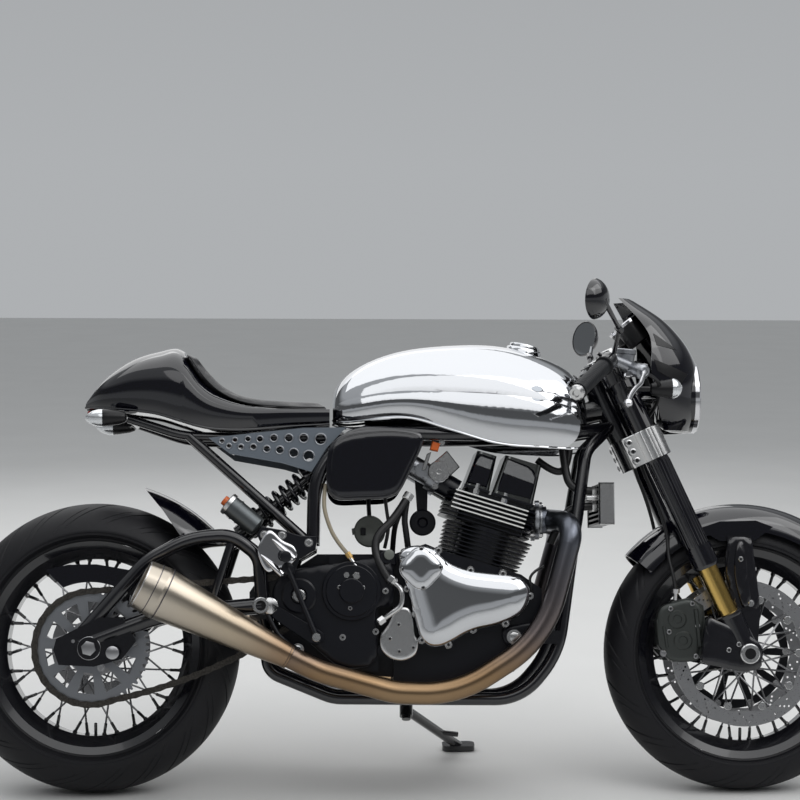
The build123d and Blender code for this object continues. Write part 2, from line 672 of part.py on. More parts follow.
with BuildPart() as intakes:
    for side in (-1, 1):
        inlet = Vector(80, side * 50, 655)
        for start, end, radius in ((42, 68, 30), (68, 128, 24), (128, 154, 29)):
            rod(inlet + INLET_DIR * start, inlet + INLET_DIR * end, radius)
        rod((4, side * 50, 700), (4, side * 86, 700), 16)
keep(intakes.part, "intakes")

# Exhaust: a header from each port, then a reverse-cone megaphone

MEGA_START = Vector(-284, -174, 297)
MEGA_DIR = Vector(-311, -56, 155).normalized()
MEGA_LENGTH = 352
with BuildPart() as headers:
    tube(
        [(PORT_X, -50, PORT_Z), (PORT_X + 16, -50, PORT_Z), (332, -142, 582), (262, -150, 335),
         (75, -156, 216), (-60, -158, 220), tuple(MEGA_START - MEGA_DIR * 70), tuple(MEGA_START)],
        [26, 46, 250, 250, 200, 200], PIPE_RADIUS,
    )
    rod((PORT_X, -50, PORT_Z), (PORT_X + 10, -50, PORT_Z), 30)
    mirror(about=Plane.XZ)
keep(headers.part, "headers")

across = MEGA_DIR.cross(Vector(0, 0, 1)).normalized()
with BuildPart() as megaphones:
    with BuildSketch(Plane(origin=MEGA_START, x_dir=MEGA_DIR, z_dir=across)):
        with BuildLine():
            Polyline(
                (0, 18), (0, PIPE_RADIUS + 2), (MEGA_LENGTH - 44, MEGAPHONE_RADIUS),
                (MEGA_LENGTH, OUTLET_RADIUS), (MEGA_LENGTH, OUTLET_RADIUS - 3),
                (MEGA_LENGTH - 60, OUTLET_RADIUS - 3),
                (MEGA_LENGTH - 60, 18), close=True,
            )
        make_face()
    revolve(axis=Axis(MEGA_START, MEGA_DIR))
    mirror(about=Plane.XZ)
keep(megaphones.part, "megaphones")

# Tank and seat

TANK = (  # x, half width at the shoulder, height of the bottom, of the shoulder and of the top
    (-192, 62, 812, 836, 862),
    (-165, 92, 806, 852, 911),
    (-100, 108, 812, 866, 951),
    (-20, 120, 813, 872, 974),
    (70, 134, 786, 868, 983),
    (170, 142, 757, 862, 982),
    (270, 138, 749, 850, 956),
    (330, 122, 747, 836, 926),
    (366, 96, 752, 808, 872),
)
with BuildPart() as tank:
    for x, half, low, shoulder, high in TANK:
        with BuildSketch(Plane(origin=(x, 0, 0), x_dir=(0, 1, 0), z_dir=(1, 0, 0))):
            with BuildLine():
                Line((-half * 0.88, low), (half * 0.88, low))
                bulge = shoulder * 0.22 + high * 0.78
                ThreePointArc((half * 0.88, low), (half, (low + shoulder) / 2), (half * 0.96, shoulder))
                ThreePointArc((half * 0.96, shoulder), (half * 0.62, bulge), (0, high))
                ThreePointArc((0, high), (-half * 0.62, bulge), (-half * 0.96, shoulder))
                ThreePointArc((-half * 0.96, shoulder), (-half, (low + shoulder) / 2), (-half * 0.88, low))
            make_face()
    loft()
    # Tunnel over the rails, the spine and the steering head: start, half width, height
    for start_x, half, ceiling in ((-230, 112, 800), (-230, 32, 846), (250, 64, 862)):
        with BuildSketch(Plane(origin=(start_x, 0, 0), x_dir=(0, 1, 0), z_dir=(1, 0, 0))):
            with Locations((0, ceiling - 100)):
                Rectangle(2 * half, 200)
        extrude(amount=640, mode=Mode.SUBTRACT)
    # Filler cap
    with BuildSketch(Plane(origin=(232, 0, 958), x_dir=(cos(radians(14)), 0, -sin(radians(14))),
                           z_dir=(sin(radians(14)), 0, cos(radians(14))))):
        Circle(33)
    extrude(amount=27)
keep(tank.part, "tank")

SEAT_HUMP = (  # x, half width, height of the bottom and of the top
    (-739, 22, 842, 856),
    (-700, 66, 838, 905),
    (-640, 90, 832, 948),
    (-580, 104, 824, 968),
    (-527, 112, 808, 972),
)
SEAT_BASE = (
    (-527, 112, 808, 972),
    (-480, 118, 794, 910),
    (-440, 120, 788, 880),
    (-380, 120, 787, 860),
    (-290, 116, 794, 855),
    (-199, 104, 800, 852),
)
PAD_LINE = ((-201, 832), (-290, 832), (-380, 840), (-440, 864), (-480, 902), (-514, 956))
PAD_TOP = ((-505, 962), (-466, 910), (-430, 876), (-378, 854), (-290, 846), (-201, 843))
PAD_PLAN = ((-201, 92), (-290, 104), (-380, 109), (-450, 107), (-516, 94))


def shell_section(x, half, low, high):
    """One cross section of the seat shell: flat below, rounded above."""
    with BuildSketch(Plane(origin=(x, 0, 0), x_dir=(0, 1, 0), z_dir=(1, 0, 0))) as section:
        shoulder = low + 0.45 * (high - low)
        with BuildLine():
            Line((-half * 0.9, low), (half * 0.9, low))
            Line((half * 0.9, low), (half, shoulder))
            ThreePointArc((half, shoulder), (half * 0.72, shoulder * 0.2 + high * 0.8), (0, high))
            ThreePointArc((0, high), (-half * 0.72, shoulder * 0.2 + high * 0.8), (-half, shoulder))
            Line((-half, shoulder), (-half * 0.9, low))
        make_face()
    return section.sketch


with BuildPart() as seat_shell:
    loft([shell_section(*row) for row in SEAT_HUMP])
    loft([shell_section(*row) for row in SEAT_BASE], ruled=True)
    # Seat for the pad, up the front of the hump
    with BuildSketch(side_plane(0)):
        with BuildLine():
            Polyline((-150, 832), *PAD_LINE, (-522, 990), (-150, 990), close=True)
        make_face()
    extrude(amount=150, both=True, mode=Mode.SUBTRACT)
keep(seat_shell.part, "seat_shell")

with BuildPart() as seat_pad:
    with BuildSketch(side_plane(0)):
        with BuildLine():
            Polyline(*PAD_LINE, *PAD_TOP, close=True)
        make_face()
    extrude(amount=120, both=True)
    with BuildSketch(Plane.XY.offset(700)):
        with BuildLine():
            Polyline(*PAD_PLAN, *[(x, -y) for x, y in reversed(PAD_PLAN)], close=True)
        make_face()
    extrude(amount=400, mode=Mode.INTERSECT)
keep(seat_pad.part, "seat_pad")

PLATE_Y, PLATE_THICKNESS = 112, 3
PLATE_HOLES = (  # x, z, radius
    (-432.8, 761.1, 4.8), (-404.6, 763.3, 5.0), (-376.5, 765.4, 5.4), (-350.5, 765.4, 6.3),
    (-320.2, 767.6, 7.4), (-287.7, 767.6, 8.2), (-255.3, 767.6, 9.1), (-218.4, 765.4, 11.5),
    (-417.6, 750.3, 4.8), (-391.6, 748.2, 5.4), (-364.6, 748.2, 6.1), (-335.4, 743.8, 6.9),
    (-307.2, 741.7, 7.8), (-276.9, 735.2, 9.3), (-244.4, 728.7, 11.2),
)
with BuildPart() as side_plates:
    for side in (-1, 1):
        with BuildSketch(side_plane(side * (PLATE_Y + PLATE_THICKNESS / 2))):
            with BuildLine():
                Polyline(
                    (-462, 768), (-255, 790), (-163, 791), (-207, 744), (-238, 694), (-302, 713),
                    (-415, 733), close=True,
                )
            make_face()
            for x, z, radius in PLATE_HOLES:
                with Locations((x, z)):
                    RegularPolygon(radius, 8, mode=Mode.SUBTRACT)
        extrude(amount=PLATE_THICKNESS / 2, both=True)
        for x, z in ((-304, 771), (-419, 766)):
            rod((x, side * 102.5, z), (x, side * PLATE_Y, z), 4)
keep(side_plates.part, "side_plates")

with BuildPart() as side_covers:
    for side in (-1, 1):
        with BuildSketch(side_plane(side * 129)):
            with BuildLine():
                ThreePointArc((-206, 690), (-196, 752), (-146, 780))
                ThreePointArc((-146, 780), (-70, 788), (-6, 779))
                ThreePointArc((-6, 779), (6, 762), (-4, 735))
                Line((-4, 735), (-42, 658))
                ThreePointArc((-42, 658), (-56, 641), (-80, 635))
                Line((-80, 635), (-178, 632))
                ThreePointArc((-178, 632), (-202, 650), (-206, 690))
            make_face()
            fillet(vertices(), 5)
        extrude(amount=-side * 10)
        chamfer(faces().sort_by(Axis.Y)[0 if side < 0 else -1].edges(), 4)
        rod((-20, side * 114, 772), (-20, side * 129, 772), 6)
keep(side_covers.part, "side_covers")

# Guards over the rear wheel: a short hugger and a fin over the chain

HUGGER_RADIUS, HUGGER_HALF, HUGGER_SIDE, HUGGER_WALL = 360, 104, 306, 3


def channel(x, z, radius, half, side_radius, wall):
    """Sketches the cross section of a crowned mudguard standing above an axle."""
    knee, knee_radius = 0.76 * half, radius - 0.28 * (radius - side_radius)
    with BuildSketch(axle_plane(x, z)) as section:
        with BuildLine():
            ThreePointArc((-half, side_radius), (-knee, knee_radius), (0, radius))
            ThreePointArc((0, radius), (knee, knee_radius), (half, side_radius))
            Line((half, side_radius), (half - wall, side_radius))
            ThreePointArc((half - wall, side_radius), (knee - wall, knee_radius - wall), (0, radius - wall))
            ThreePointArc((0, radius - wall), (wall - knee, knee_radius - wall), (wall - half, side_radius))
            Line((wall - half, side_radius), (-half, side_radius))
        make_face()
    return section.sketch


with BuildPart() as rear_guards:
    hoop = channel(REAR_X, REAR_RADIUS, HUGGER_RADIUS, HUGGER_HALF, HUGGER_SIDE, HUGGER_WALL)
    revolve(hoop, axis=Axis((REAR_X, 0, REAR_RADIUS), (0, 1, 0)), revolution_arc=90)
    # Cut to its raked outline
    with BuildSketch(side_plane(0)):
        with BuildLine():
            Polyline((-603, 660), (-560, 610), (-519, 552), (-434, 540), (-434, 700), (-603, 700), close=True)
        make_face()
    extrude(amount=130, both=True, mode=Mode.INTERSECT)
    with BuildSketch(side_plane(19 - ARM_Y)):
        with BuildLine():
            Polyline(
                (-809, 482), (-760, 493), (-700, 494), (-620, 480), (-584, 440), (-578, 395), (-594, 395),
            )
            ThreePointArc((-594, 395), (-672, 450), (-770, 444))
            Line((-770, 444), (-809, 482))
        make_face()
    extrude(amount=4)
keep(rear_guards.part, "rear_guards")

# Rider controls at the feet

with BuildPart() as rearsets:
    for side in (-1, 1):
        with BuildSketch(side_plane(side * 163)):
            with BuildLine():
                Polyline(
                    (-226, 552), (-228, 524), (-262, 505), (-274, 472), (-296, 464), (-322, 486), (-354, 556),
                    (-346, 574), (-300, 566), (-262, 554), close=True,
                )
            make_face()
        extrude(amount=3.5, both=True)
        rod((BOSS_X, side * BOSS_FACE, BOSS_Z), (BOSS_X, side * 163, BOSS_Z), 12)
        # Footpeg
        rod((-296, side * 163, 511), (-296, side * 182, 511), 13)
        rod((-296, side * 182, 511), (-290, side * 262, 507), 10)
        # Pedal
        rod((-288, side * 170, 484), (-226, side * 178, 338), 6)
        rod((-288, side * 163, 484), (-288, side * 176, 484), 13)
        rod((-226, side * 166, 338), (-226, side * 200, 338), 8)
keep(rearsets.part, "rearsets")

with BuildPart() as oil_cooler:
    with Locations((406, 0, 626)):
        Box(30, 200, 90)
    for side in (-1, 1):
        with Locations((406, side * 104, 626)):
            Box(34, 12, 94)
        rod((395, side * 66, 640), (367, side * 66, 640), 7)
keep(oil_cooler.part, "oil_cooler")

with BuildPart() as rear_lamps:
    for side in (-1, 1):
        rod((-650, side * 60, 812), (-650, side * 112, 812), 6)
        rod((-637, side * 112, 812), (-690, side * 112, 811), 15)
        rod((-690, side * 112, 811), (-719, side * 112, 811), 19)
    with Locations((-724, 0, 826)):
        Box(22, 56, 20)
keep(rear_lamps.part, "rear_lamps")

# Side stand, swinging on a tilted pin

with BuildPart() as side_stand:
    rod(STAND_HEAD - STAND_AXIS * 16, STAND_HEAD + STAND_AXIS * 16, 15)
    rod(STAND_HEAD, STAND_HEAD + STAND_LEG, STAND_RADIUS)
    rod(STAND_HEAD - STAND_AXIS * 17, STAND_HEAD + STAND_AXIS * 17, 6.5, mode=Mode.SUBTRACT)
    with BuildSketch(Plane(origin=STAND_GROUND, x_dir=(1, 0, 0), z_dir=GROUND_UP)):
        RectangleRounded(76, 46, 14)
    extrude(amount=STAND_PAD + 4)
    rod(STAND_HEAD + STAND_LEG * 0.62, STAND_HEAD + STAND_LEG * 0.62 + Vector(44, 8, -6), 6)
keep(side_stand.part, "side_stand")

# Front end

YOKES = (  # from, to, wall of the clamps, how far the ears reach behind the legs
    (LOWER_YOKE_FROM, LOWER_YOKE_TO, 8, 50),
    (UPPER_YOKE_FROM, UPPER_YOKE_TO, 8, 30),
)
with BuildPart() as yokes:
    for low, high, wall, ear in YOKES:
        with BuildSketch(fork_plane(low)):
            # Clamps round the legs, with split ears behind them
            for side in (-1, 1):
                with Locations((0, side * FORK_Y)):
                    Circle(FORK_OUTER_RADIUS + wall)
                with Locations((-ear / 2, side * FORK_Y)):
                    Rectangle(ear, 24)
            # Plate that narrows towards the steering stem
            with Locations((-FORK_OFFSET, 0)):
                Circle(27)
            with BuildLine():
                Polyline((-FORK_OFFSET - 12, 26), (-26, 92), (22, 92), (22, -92), (-26, -92),
                         (-FORK_OFFSET - 12, -26), close=True)
            make_face()
        extrude(amount=high - low)
        for side in (-1, 1):
            rod(fork_point(low - 5, side * FORK_Y), fork_point(high + 5, side * FORK_Y), YOKE_BORE,
                mode=Mode.SUBTRACT)
    rod(head_point(LOWER_YOKE_FROM), head_point(UPPER_YOKE_TO), STEM_RADIUS)
    rod(head_point(UPPER_YOKE_TO), head_point(UPPER_YOKE_TO + 10), 20)
keep(yokes.part, "yokes")

with BuildPart() as fork_tubes:
    for side in (-1, 1):
        y = side * FORK_Y
        rod(fork_point(FORK_SLIDER_TOP, y), fork_point(FORK_TOP, y), FORK_OUTER_RADIUS)
        rod(fork_point(FORK_SLIDER_TOP, y), fork_point(FORK_SLIDER_TOP + 42, y), FORK_COLLAR_RADIUS)
        rod(fork_point(FORK_TOP, y), fork_point(FORK_TOP + 10, y), FORK_OUTER_RADIUS - 7)
keep(fork_tubes.part, "fork_tubes")

with BuildPart() as stanchions:
    for side in (-1, 1):
        y = side * FORK_Y
        rod(fork_point(FORK_FOOT_TOP, y), fork_point(FORK_SLIDER_TOP, y), STANCHION_RADIUS)
keep(stanchions.part, "stanchions")

with BuildPart() as fork_feet:
    rod(fork_point(20, -FORK_Y), fork_point(FORK_FOOT_TOP, -FORK_Y), 28)
    # Casting round the axle, with the caliper lug behind it
    with BuildSketch(front_plane(-FORK_Y + 20)):
        with BuildLine():
            Polyline(
                (25, 18), (22, -32), (-20, -38), (-98, -20), (-102, -4), (-90, 72), (-70, 72), (-20, 50),
                close=True,
            )
        make_face()
        Circle(30)
    extrude(amount=40)
    # Strut up to the mudguard
    with BuildSketch(front_plane(-GUARD_HALF)):
        with BuildLine():
            Polyline(
                (-42, 170), (-34, GUARD_SIDE - 12), (18, GUARD_SIDE - 12), (28, 170), (34, 100), (6, 72),
                (-20, 85), close=True,
            )
        make_face()
    extrude(amount=8)
    with BuildSketch(front_plane(-GUARD_HALF)):
        with BuildLine():
            Polyline((-20, 85), (34, 100), (26, 20), (-20, 30), close=True)
        make_face()
    extrude(amount=18)
    rod((FRONT_X, 0, FRONT_RADIUS), (FRONT_X, -FORK_Y - 26, FRONT_RADIUS), 11.5)
    rod((FRONT_X, -FORK_Y - 20, FRONT_RADIUS), (FRONT_X, -FORK_Y - 26, FRONT_RADIUS), 19)
    mirror(about=Plane.XZ)
keep(fork_feet.part, "fork_feet")

with BuildPart() as front_calipers:
    for side in (-1, 1):
        with BuildSketch(front_plane(side * 71 + 27)):
            with BuildLine():
                Polyline(
                    (-196, 72), (-192, 18), (-162, -18), (-110, -16), (-102, -4), (-90, 72), (-94, 104),
                    (-122, 120), (-162, 112), close=True,
                )
            make_face()
        extrude(amount=54)
        with BuildSketch(side_plane(side * FRONT_DISC_Y)):
            with Locations((FRONT_X, FRONT_RADIUS)):
                Circle(FRONT_DISC_RADIUS + 6)
        extrude(amount=DISC_THICKNESS / 2 + 5, both=True, mode=Mode.SUBTRACT)
    # Clear of the rim and the spokes
    with BuildSketch(side_plane(0)):
        with Locations((FRONT_X, FRONT_RADIUS)):
            Circle(280)
            Circle(184, mode=Mode.SUBTRACT)
    extrude(amount=57, both=True, mode=Mode.SUBTRACT)
keep(front_calipers.part, "front_calipers")

with BuildPart() as front_mudguard:
    hoop = channel(FRONT_X, FRONT_RADIUS, GUARD_RADIUS, GUARD_HALF, GUARD_SIDE, GUARD_WALL)
    revolve(hoop, axis=Axis((FRONT_X, 0, FRONT_RADIUS), (0, -1, 0)), revolution_arc=GUARD_TO - 90)
    revolve(hoop, axis=Axis((FRONT_X, 0, FRONT_RADIUS), (0, 1, 0)), revolution_arc=90 - GUARD_FROM)
    # Skirts that bolt to the fork feet
    for side in (-1, 1):
        with BuildSketch(front_plane(side * (GUARD_HALF - GUARD_WALL / 2))):
            with BuildLine():
                skirt = ((-98, 4), (-50, -23), (26, -23), (68, 8), (30, 22), (-50, 20))
                Polyline(*[(x, GUARD_SIDE + z) for x, z in skirt], close=True)
            make_face()
        extrude(amount=GUARD_WALL / 2, both=True)
keep(front_mudguard.part, "front_mudguard")

# Handlebars: clip-ons under the upper yoke, with their levers

GRIP_IN, GRIP_OUT = front_point(-323, 240, 614), front_point(-392, 345, 548)
GRIP_DIR = (GRIP_OUT - GRIP_IN).normalized()
CLAMP_FROM, CLAMP_TO = 650, 680
CONTROLS = (  # start, end and radius, from the front axle, with the left ones mirrored from these
    ((-300, 204, 630), (-264, 190, 618), 11),
    ((-272, 160, 624), (-236, 228, 600), 14),
    ((-270, 168, 622), (-264, 172, 658), 20),
    ((-240, 222, 602), (-258, 300, 568), 6),
    ((-258, 300, 568), (-296, 404, 518), 5),
    ((-294, 398, 520), (-298, 408, 516), 8),
    ((-302, 203, 626), (-292, 252, 690), 5),
)
MIRRORS = ((-354, -1), (-296, 1))  # ahead of the axle, side
MIRROR_RADIUS = 43
with BuildPart() as handlebars:
    elbow = GRIP_IN - GRIP_DIR * 45
    rod(fork_point(CLAMP_FROM, FORK_Y), fork_point(CLAMP_TO, FORK_Y), 36, bore=YOKE_BORE)
    tube([tuple(front_point(-276, 139, 607)), tuple(elbow), tuple(GRIP_OUT + GRIP_DIR * 4)], [50], 11)
    # Bar end weight
    rod(GRIP_OUT + GRIP_DIR * 1, GRIP_OUT + GRIP_DIR * 14, 14)
    # Switch block
    rod(GRIP_IN - GRIP_DIR * 32, GRIP_IN - GRIP_DIR * 1, 20)
    # Master cylinder, its reservoir, the lever and the foot of the mirror's stalk
    for start, end, radius in CONTROLS:
        rod(front_point(*start), front_point(*end), radius)
    mirror(about=Plane.XZ)
    for x, side in MIRRORS:
        middle = front_point(x, side * 330, 744)
        facing = Vector(-0.8, -side * 0.55, 0.1).normalized()
        level = facing.cross(Vector(0, 0, 1)).normalized()
        with BuildSketch(Plane(origin=middle, x_dir=level, z_dir=facing)):
            Circle(MIRROR_RADIUS)
        with BuildSketch(Plane(origin=middle - facing * 24, x_dir=level, z_dir=facing)):
            Circle(22)
        loft()
        rod(middle - facing * 22, front_point(-292, side * 252, 690), 5)
keep(handlebars.part, "handlebars")

with BuildPart() as grips:
    rod(GRIP_IN, GRIP_OUT, 16, bore=11.3)
    mirror(about=Plane.XZ)
keep(grips.part, "grips")

# Headlamp in its fairing

LAMP_X, LAMP_Z = FRONT_X - 78, FRONT_RADIUS + 568
LAMP_RADIUS = 80
with BuildPart() as headlamp:
    with BuildSketch(Plane.XZ):
        with BuildLine():
            Polyline(
                (LAMP_X, LAMP_Z), (LAMP_X - 100, LAMP_Z), (LAMP_X - 100, LAMP_Z + 58),
                (LAMP_X - 66, LAMP_Z + LAMP_RADIUS), (LAMP_X - 22, LAMP_Z + LAMP_RADIUS),
                (LAMP_X - 12, LAMP_Z + 64), (LAMP_X - 3, LAMP_Z + 34), close=True,
            )
        make_face()
    revolve(axis=Axis((LAMP_X, 0, LAMP_Z), (1, 0, 0)))
    for side in (-1, 1):
        rod(fork_point(610, side * FORK_Y), fork_point(630, side * FORK_Y), 31, bore=YOKE_BORE)
        rod((LAMP_X - 144, side * 98, LAMP_Z), (LAMP_X - 94, side * 52, LAMP_Z), 8)
keep(headlamp.part, "headlamp")

FAIRING = (  # above the lamp's centre, nose and rear from the lamp's glass, half width
    (-78, -26, -91, 62),
    (-48, -4, -104, 94),
    (2, 2, -116, 113),
    (52, -3, -126, 118),
    (94, -18, -124, 115),
    (132, -42, -128, 103),
    (176, -84, -154, 82),
    (220, -150, -186, 44),
)
FAIRING_WALL = 4


def fairing_level(height, nose, rear, half):
    """One level of the fairing: an arc round the nose, closed across its open back."""
    with BuildSketch(Plane.XY.offset(LAMP_Z + height)) as level:
        with BuildLine():
            ThreePointArc((LAMP_X + rear, -half), (LAMP_X + nose, 0), (LAMP_X + rear, half))
            Line((LAMP_X + rear, half), (LAMP_X + rear, -half))
        make_face()
    return level.sketch


def inner_level(height, nose, rear, half):
    """The same level inside the wall, carried on behind the fairing so that the back is open."""
    nose, half = nose - FAIRING_WALL, half - FAIRING_WALL
    back = LAMP_X + rear - 3 * FAIRING_WALL
    with BuildSketch(Plane.XY.offset(LAMP_Z + height)) as level:
        with BuildLine():
            ThreePointArc((LAMP_X + rear, -half), (LAMP_X + nose, 0), (LAMP_X + rear, half))
            Polyline((LAMP_X + rear, half), (back, half), (back, -half), (LAMP_X + rear, -half))
        make_face()
    return level.sketch


with BuildPart() as fairing:
    loft([fairing_level(*row) for row in FAIRING], ruled=True)
    inner = [list(row) for row in FAIRING]
    inner[0][0] -= 3
    inner[-1][0] += 3
    loft([inner_level(*row) for row in inner], ruled=True, mode=Mode.SUBTRACT)
    with BuildSketch(Plane(origin=(LAMP_X - 72, 0, LAMP_Z), x_dir=(0, 1, 0), z_dir=(1, 0, 0))):
        Circle(LAMP_RADIUS + 0.5)
    extrude(amount=100, mode=Mode.SUBTRACT)
keep(fairing.part, "fairing")

INDICATOR = (  # start and end as ahead, aside and above the front axle, radius
    ((-259, 135.3, 572), (-259, 164, 572), 6),
    ((-259, 160, 572), (-210, 160, 572), 6),
    ((-212, 160, 572), (-170, 160, 573), 15),
    ((-170, 160, 573), (-158, 160, 573), 19),
)
with BuildPart() as front_indicators:
    for start, end, radius in INDICATOR:
        rod(front_point(*start), front_point(*end), radius)
    mirror(about=Plane.XZ)
keep(front_indicators.part, "front_indicators")

with BuildPart() as instruments:
    facing = Vector(-0.62, 0, 0.785)
    carrier = front_point(-220, 0, 696)
    for side in (-1, 1):
        dial = front_point(-246, side * 38, 730)
        rod(dial - facing * 50, dial, 30)
        rod(dial, dial + facing * 5, 33)
    rod(carrier - Vector(0, 38, 0), carrier + Vector(0, 38, 0), 9)
    rod(fork_point(UPPER_YOKE_TO, 0, -2), fork_point(UPPER_YOKE_TO + 22, 0, -2), 8)
    rod(fork_point(UPPER_YOKE_TO + 16, 0, -2), carrier, 7)
keep(instruments.part, "instruments")


# Lean the whole machine on to its stand and centre it over the middle of its base

leaned = Rotation(-LEAN, 0, 0)
boxes = [(leaned * part).bounding_box() for part in pieces.values()]
low = [min(getattr(box.min, axis) for box in boxes) for axis in "XYZ"]
high = [max(getattr(box.max, axis) for box in boxes) for axis in "XYZ"]
PARKED = Pos(-(low[0] + high[0]) / 2, -(low[1] + high[1]) / 2, -low[2]) * leaned


def main():
    """Writes one file for each piece, in the parked pose."""
    os.makedirs("parts", exist_ok=True)
    for name, part in pieces.items():
        placed = PARKED * part
        placed.label = name
        export_step(placed, f"parts/{name}.step")


main()
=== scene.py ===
import json
from math import asin, atan2, cos, pi, radians, sin

import bmesh
import bpy
from mathutils import Matrix, Vector
from mathutils.geometry import delaunay_2d_cdt


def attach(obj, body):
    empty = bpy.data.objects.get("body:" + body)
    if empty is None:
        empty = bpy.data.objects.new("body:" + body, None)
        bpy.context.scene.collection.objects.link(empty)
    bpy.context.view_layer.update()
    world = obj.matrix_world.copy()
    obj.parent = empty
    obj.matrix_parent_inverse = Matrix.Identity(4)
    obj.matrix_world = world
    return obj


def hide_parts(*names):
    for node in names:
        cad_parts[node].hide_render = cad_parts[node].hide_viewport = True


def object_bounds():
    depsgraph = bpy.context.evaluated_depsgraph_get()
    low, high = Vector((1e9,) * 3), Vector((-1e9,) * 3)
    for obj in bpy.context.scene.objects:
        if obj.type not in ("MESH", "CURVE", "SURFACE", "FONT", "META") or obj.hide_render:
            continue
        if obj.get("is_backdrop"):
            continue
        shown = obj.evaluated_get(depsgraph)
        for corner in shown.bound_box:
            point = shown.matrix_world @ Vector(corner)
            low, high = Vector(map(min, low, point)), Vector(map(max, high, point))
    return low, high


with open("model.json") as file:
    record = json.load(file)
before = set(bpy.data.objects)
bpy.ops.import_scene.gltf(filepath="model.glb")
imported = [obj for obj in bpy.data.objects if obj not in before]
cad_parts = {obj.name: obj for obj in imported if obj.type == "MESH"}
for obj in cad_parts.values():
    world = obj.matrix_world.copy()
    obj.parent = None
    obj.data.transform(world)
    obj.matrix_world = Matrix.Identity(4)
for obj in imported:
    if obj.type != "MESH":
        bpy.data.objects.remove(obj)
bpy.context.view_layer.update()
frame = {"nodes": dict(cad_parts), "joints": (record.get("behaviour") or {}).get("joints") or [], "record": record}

# The pieces below are laid out as in the part's source: in millimetres, with the machine upright,
# X forward, Y to its left, Z up. PARK takes them to the row frame, leaning on the side stand.
LEAN, RAKE, TILT = radians(12), radians(24.5), radians(17)  # of the machine, its fork and its cylinders
FRONT_AXLE, REAR_AXLE = Vector((710, 0, 300)), Vector((-710, 0, 315))
UP_FORK, AHEAD_OF_FORK = Vector((-sin(RAKE), 0, cos(RAKE))), Vector((cos(RAKE), 0, sin(RAKE)))
UP_CYLINDER, ALONG_CYLINDER = Vector((sin(TILT), 0, cos(TILT))), Vector((cos(TILT), 0, -sin(TILT)))
DECK = Vector((127, 0, 499))
RIGHT, LEFT = Vector((0, -1, 0)), Vector((0, 1, 0))
FORWARD, BACK, UP = Vector((1, 0, 0)), Vector((-1, 0, 0)), Vector((0, 0, 1))
joints = {joint["name"]: joint for joint in frame["joints"]}
TURNED = Matrix.Rotation(-LEAN, 4, "X") @ Matrix.Scale(0.001, 4)
PARK = Matrix.Translation(Vector(joints["front_wheel_spin"]["pos_m"]) - TURNED @ FRONT_AXLE) @ TURNED

# Camera, solved from the wheels' outlines in the photograph
LENS_MM, SENSOR_MM = 93.53, 36
CAMERA_AT = Vector((-0.1886, -4.6134, 1.3654))
CAMERA_YAW, CAMERA_PITCH, CAMERA_ROLL = -0.033401, 0.112094, 0.005699

WELD = 0.00002  # metres between points that become one
CREASE = radians(36)  # between faces that meet in a sharp edge
GROOVE_DEPTH, CROSSINGS = 4.5, 32  # of the tread, and its rows across the tyre

scene = bpy.context.scene


def grow(tree, kind, feeds=(), **values):
    """Adds a shader node: feeds pairs its inputs with sockets that feed them, values set the others."""
    node = tree.nodes.new("ShaderNode" + kind)
    for name, value in values.items():
        node.inputs[name.replace("_", " ")].default_value = value
    for name, socket in feeds:
        tree.links.new(socket, node.inputs[name])
    return node


def ramp(tree, stops, feed):
    """Adds a colour ramp with stops of position and colour, and returns the socket of its colour."""
    node = grow(tree, "ValToRGB", [("Fac", feed)])
    while len(node.color_ramp.elements) < len(stops):
        node.color_ramp.elements.new(0.5)
    for element, (position, color) in zip(node.color_ramp.elements, stops):
        element.position = position
        element.color = (*color, 1)
    return node.outputs["Color"]


def material(name, color, metallic=0.0, roughness=0.5, bump=0.0, grain=400.0, shade=0.0, spread=0.0, coat=0.0,
             clear=0.0, shine=0.5):
    """A surface whose colour and roughness vary a little with a noise of the given grain per metre."""
    made = bpy.data.materials.new(name)
    made.use_nodes = True
    tree = made.node_tree
    sockets = tree.nodes["Principled BSDF"].inputs
    for socket, value in (("Base Color", (*color, 1)), ("Metallic", metallic), ("Roughness", roughness),
                          ("Coat Weight", coat), ("Coat Roughness", 0.04), ("Transmission Weight", clear),
                          ("Specular IOR Level", shine)):
        sockets[socket].default_value = value
    place = grow(tree, "TexCoord").outputs["Object"]
    noise = grow(tree, "TexNoise", [("Vector", place)], Scale=grain).outputs["Fac"]
    if shade:
        stops = (0.3, [c * (1 - shade) for c in color]), (0.7, [min(1, c * (1 + shade)) for c in color])
        tree.links.new(ramp(tree, stops, noise), sockets["Base Color"])
    if spread:
        span = grow(tree, "MapRange", [("Value", noise)], To_Min=max(0.02, roughness - spread),
                    To_Max=roughness + spread)
        tree.links.new(span.outputs["Result"], sockets["Roughness"])
    if bump:
        relief = grow(tree, "Bump", [("Height", noise)], Strength=bump, Distance=0.0005)
        tree.links.new(relief.outputs["Normal"], sockets["Normal"])
    return made


def tinted(name, axis, low, high, roughness, stops):
    """Heat-tinted steel: its colour changes along one axis of the row frame, from low to high in metres."""
    made = material(name, stops[0][1], metallic=1.0, roughness=roughness, grain=9)
    tree = made.node_tree
    split = grow(tree, "SeparateXYZ", [("Vector", tree.nodes["Texture Coordinate"].outputs["Object"])])
    waver = grow(tree, "Math")
    waver.operation = "MULTIPLY_ADD"
    waver.inputs[1].default_value = 0.10 * (high - low)
    tree.links.new(tree.nodes["Noise Texture"].outputs["Fac"], waver.inputs[0])
    tree.links.new(split.outputs[axis], waver.inputs[2])
    span = grow(tree, "MapRange", [("Value", waver.outputs["Value"])], From_Min=low, From_Max=high)
    tree.links.new(ramp(tree, stops, span.outputs["Result"]),
                   tree.nodes["Principled BSDF"].inputs["Base Color"])
    return made


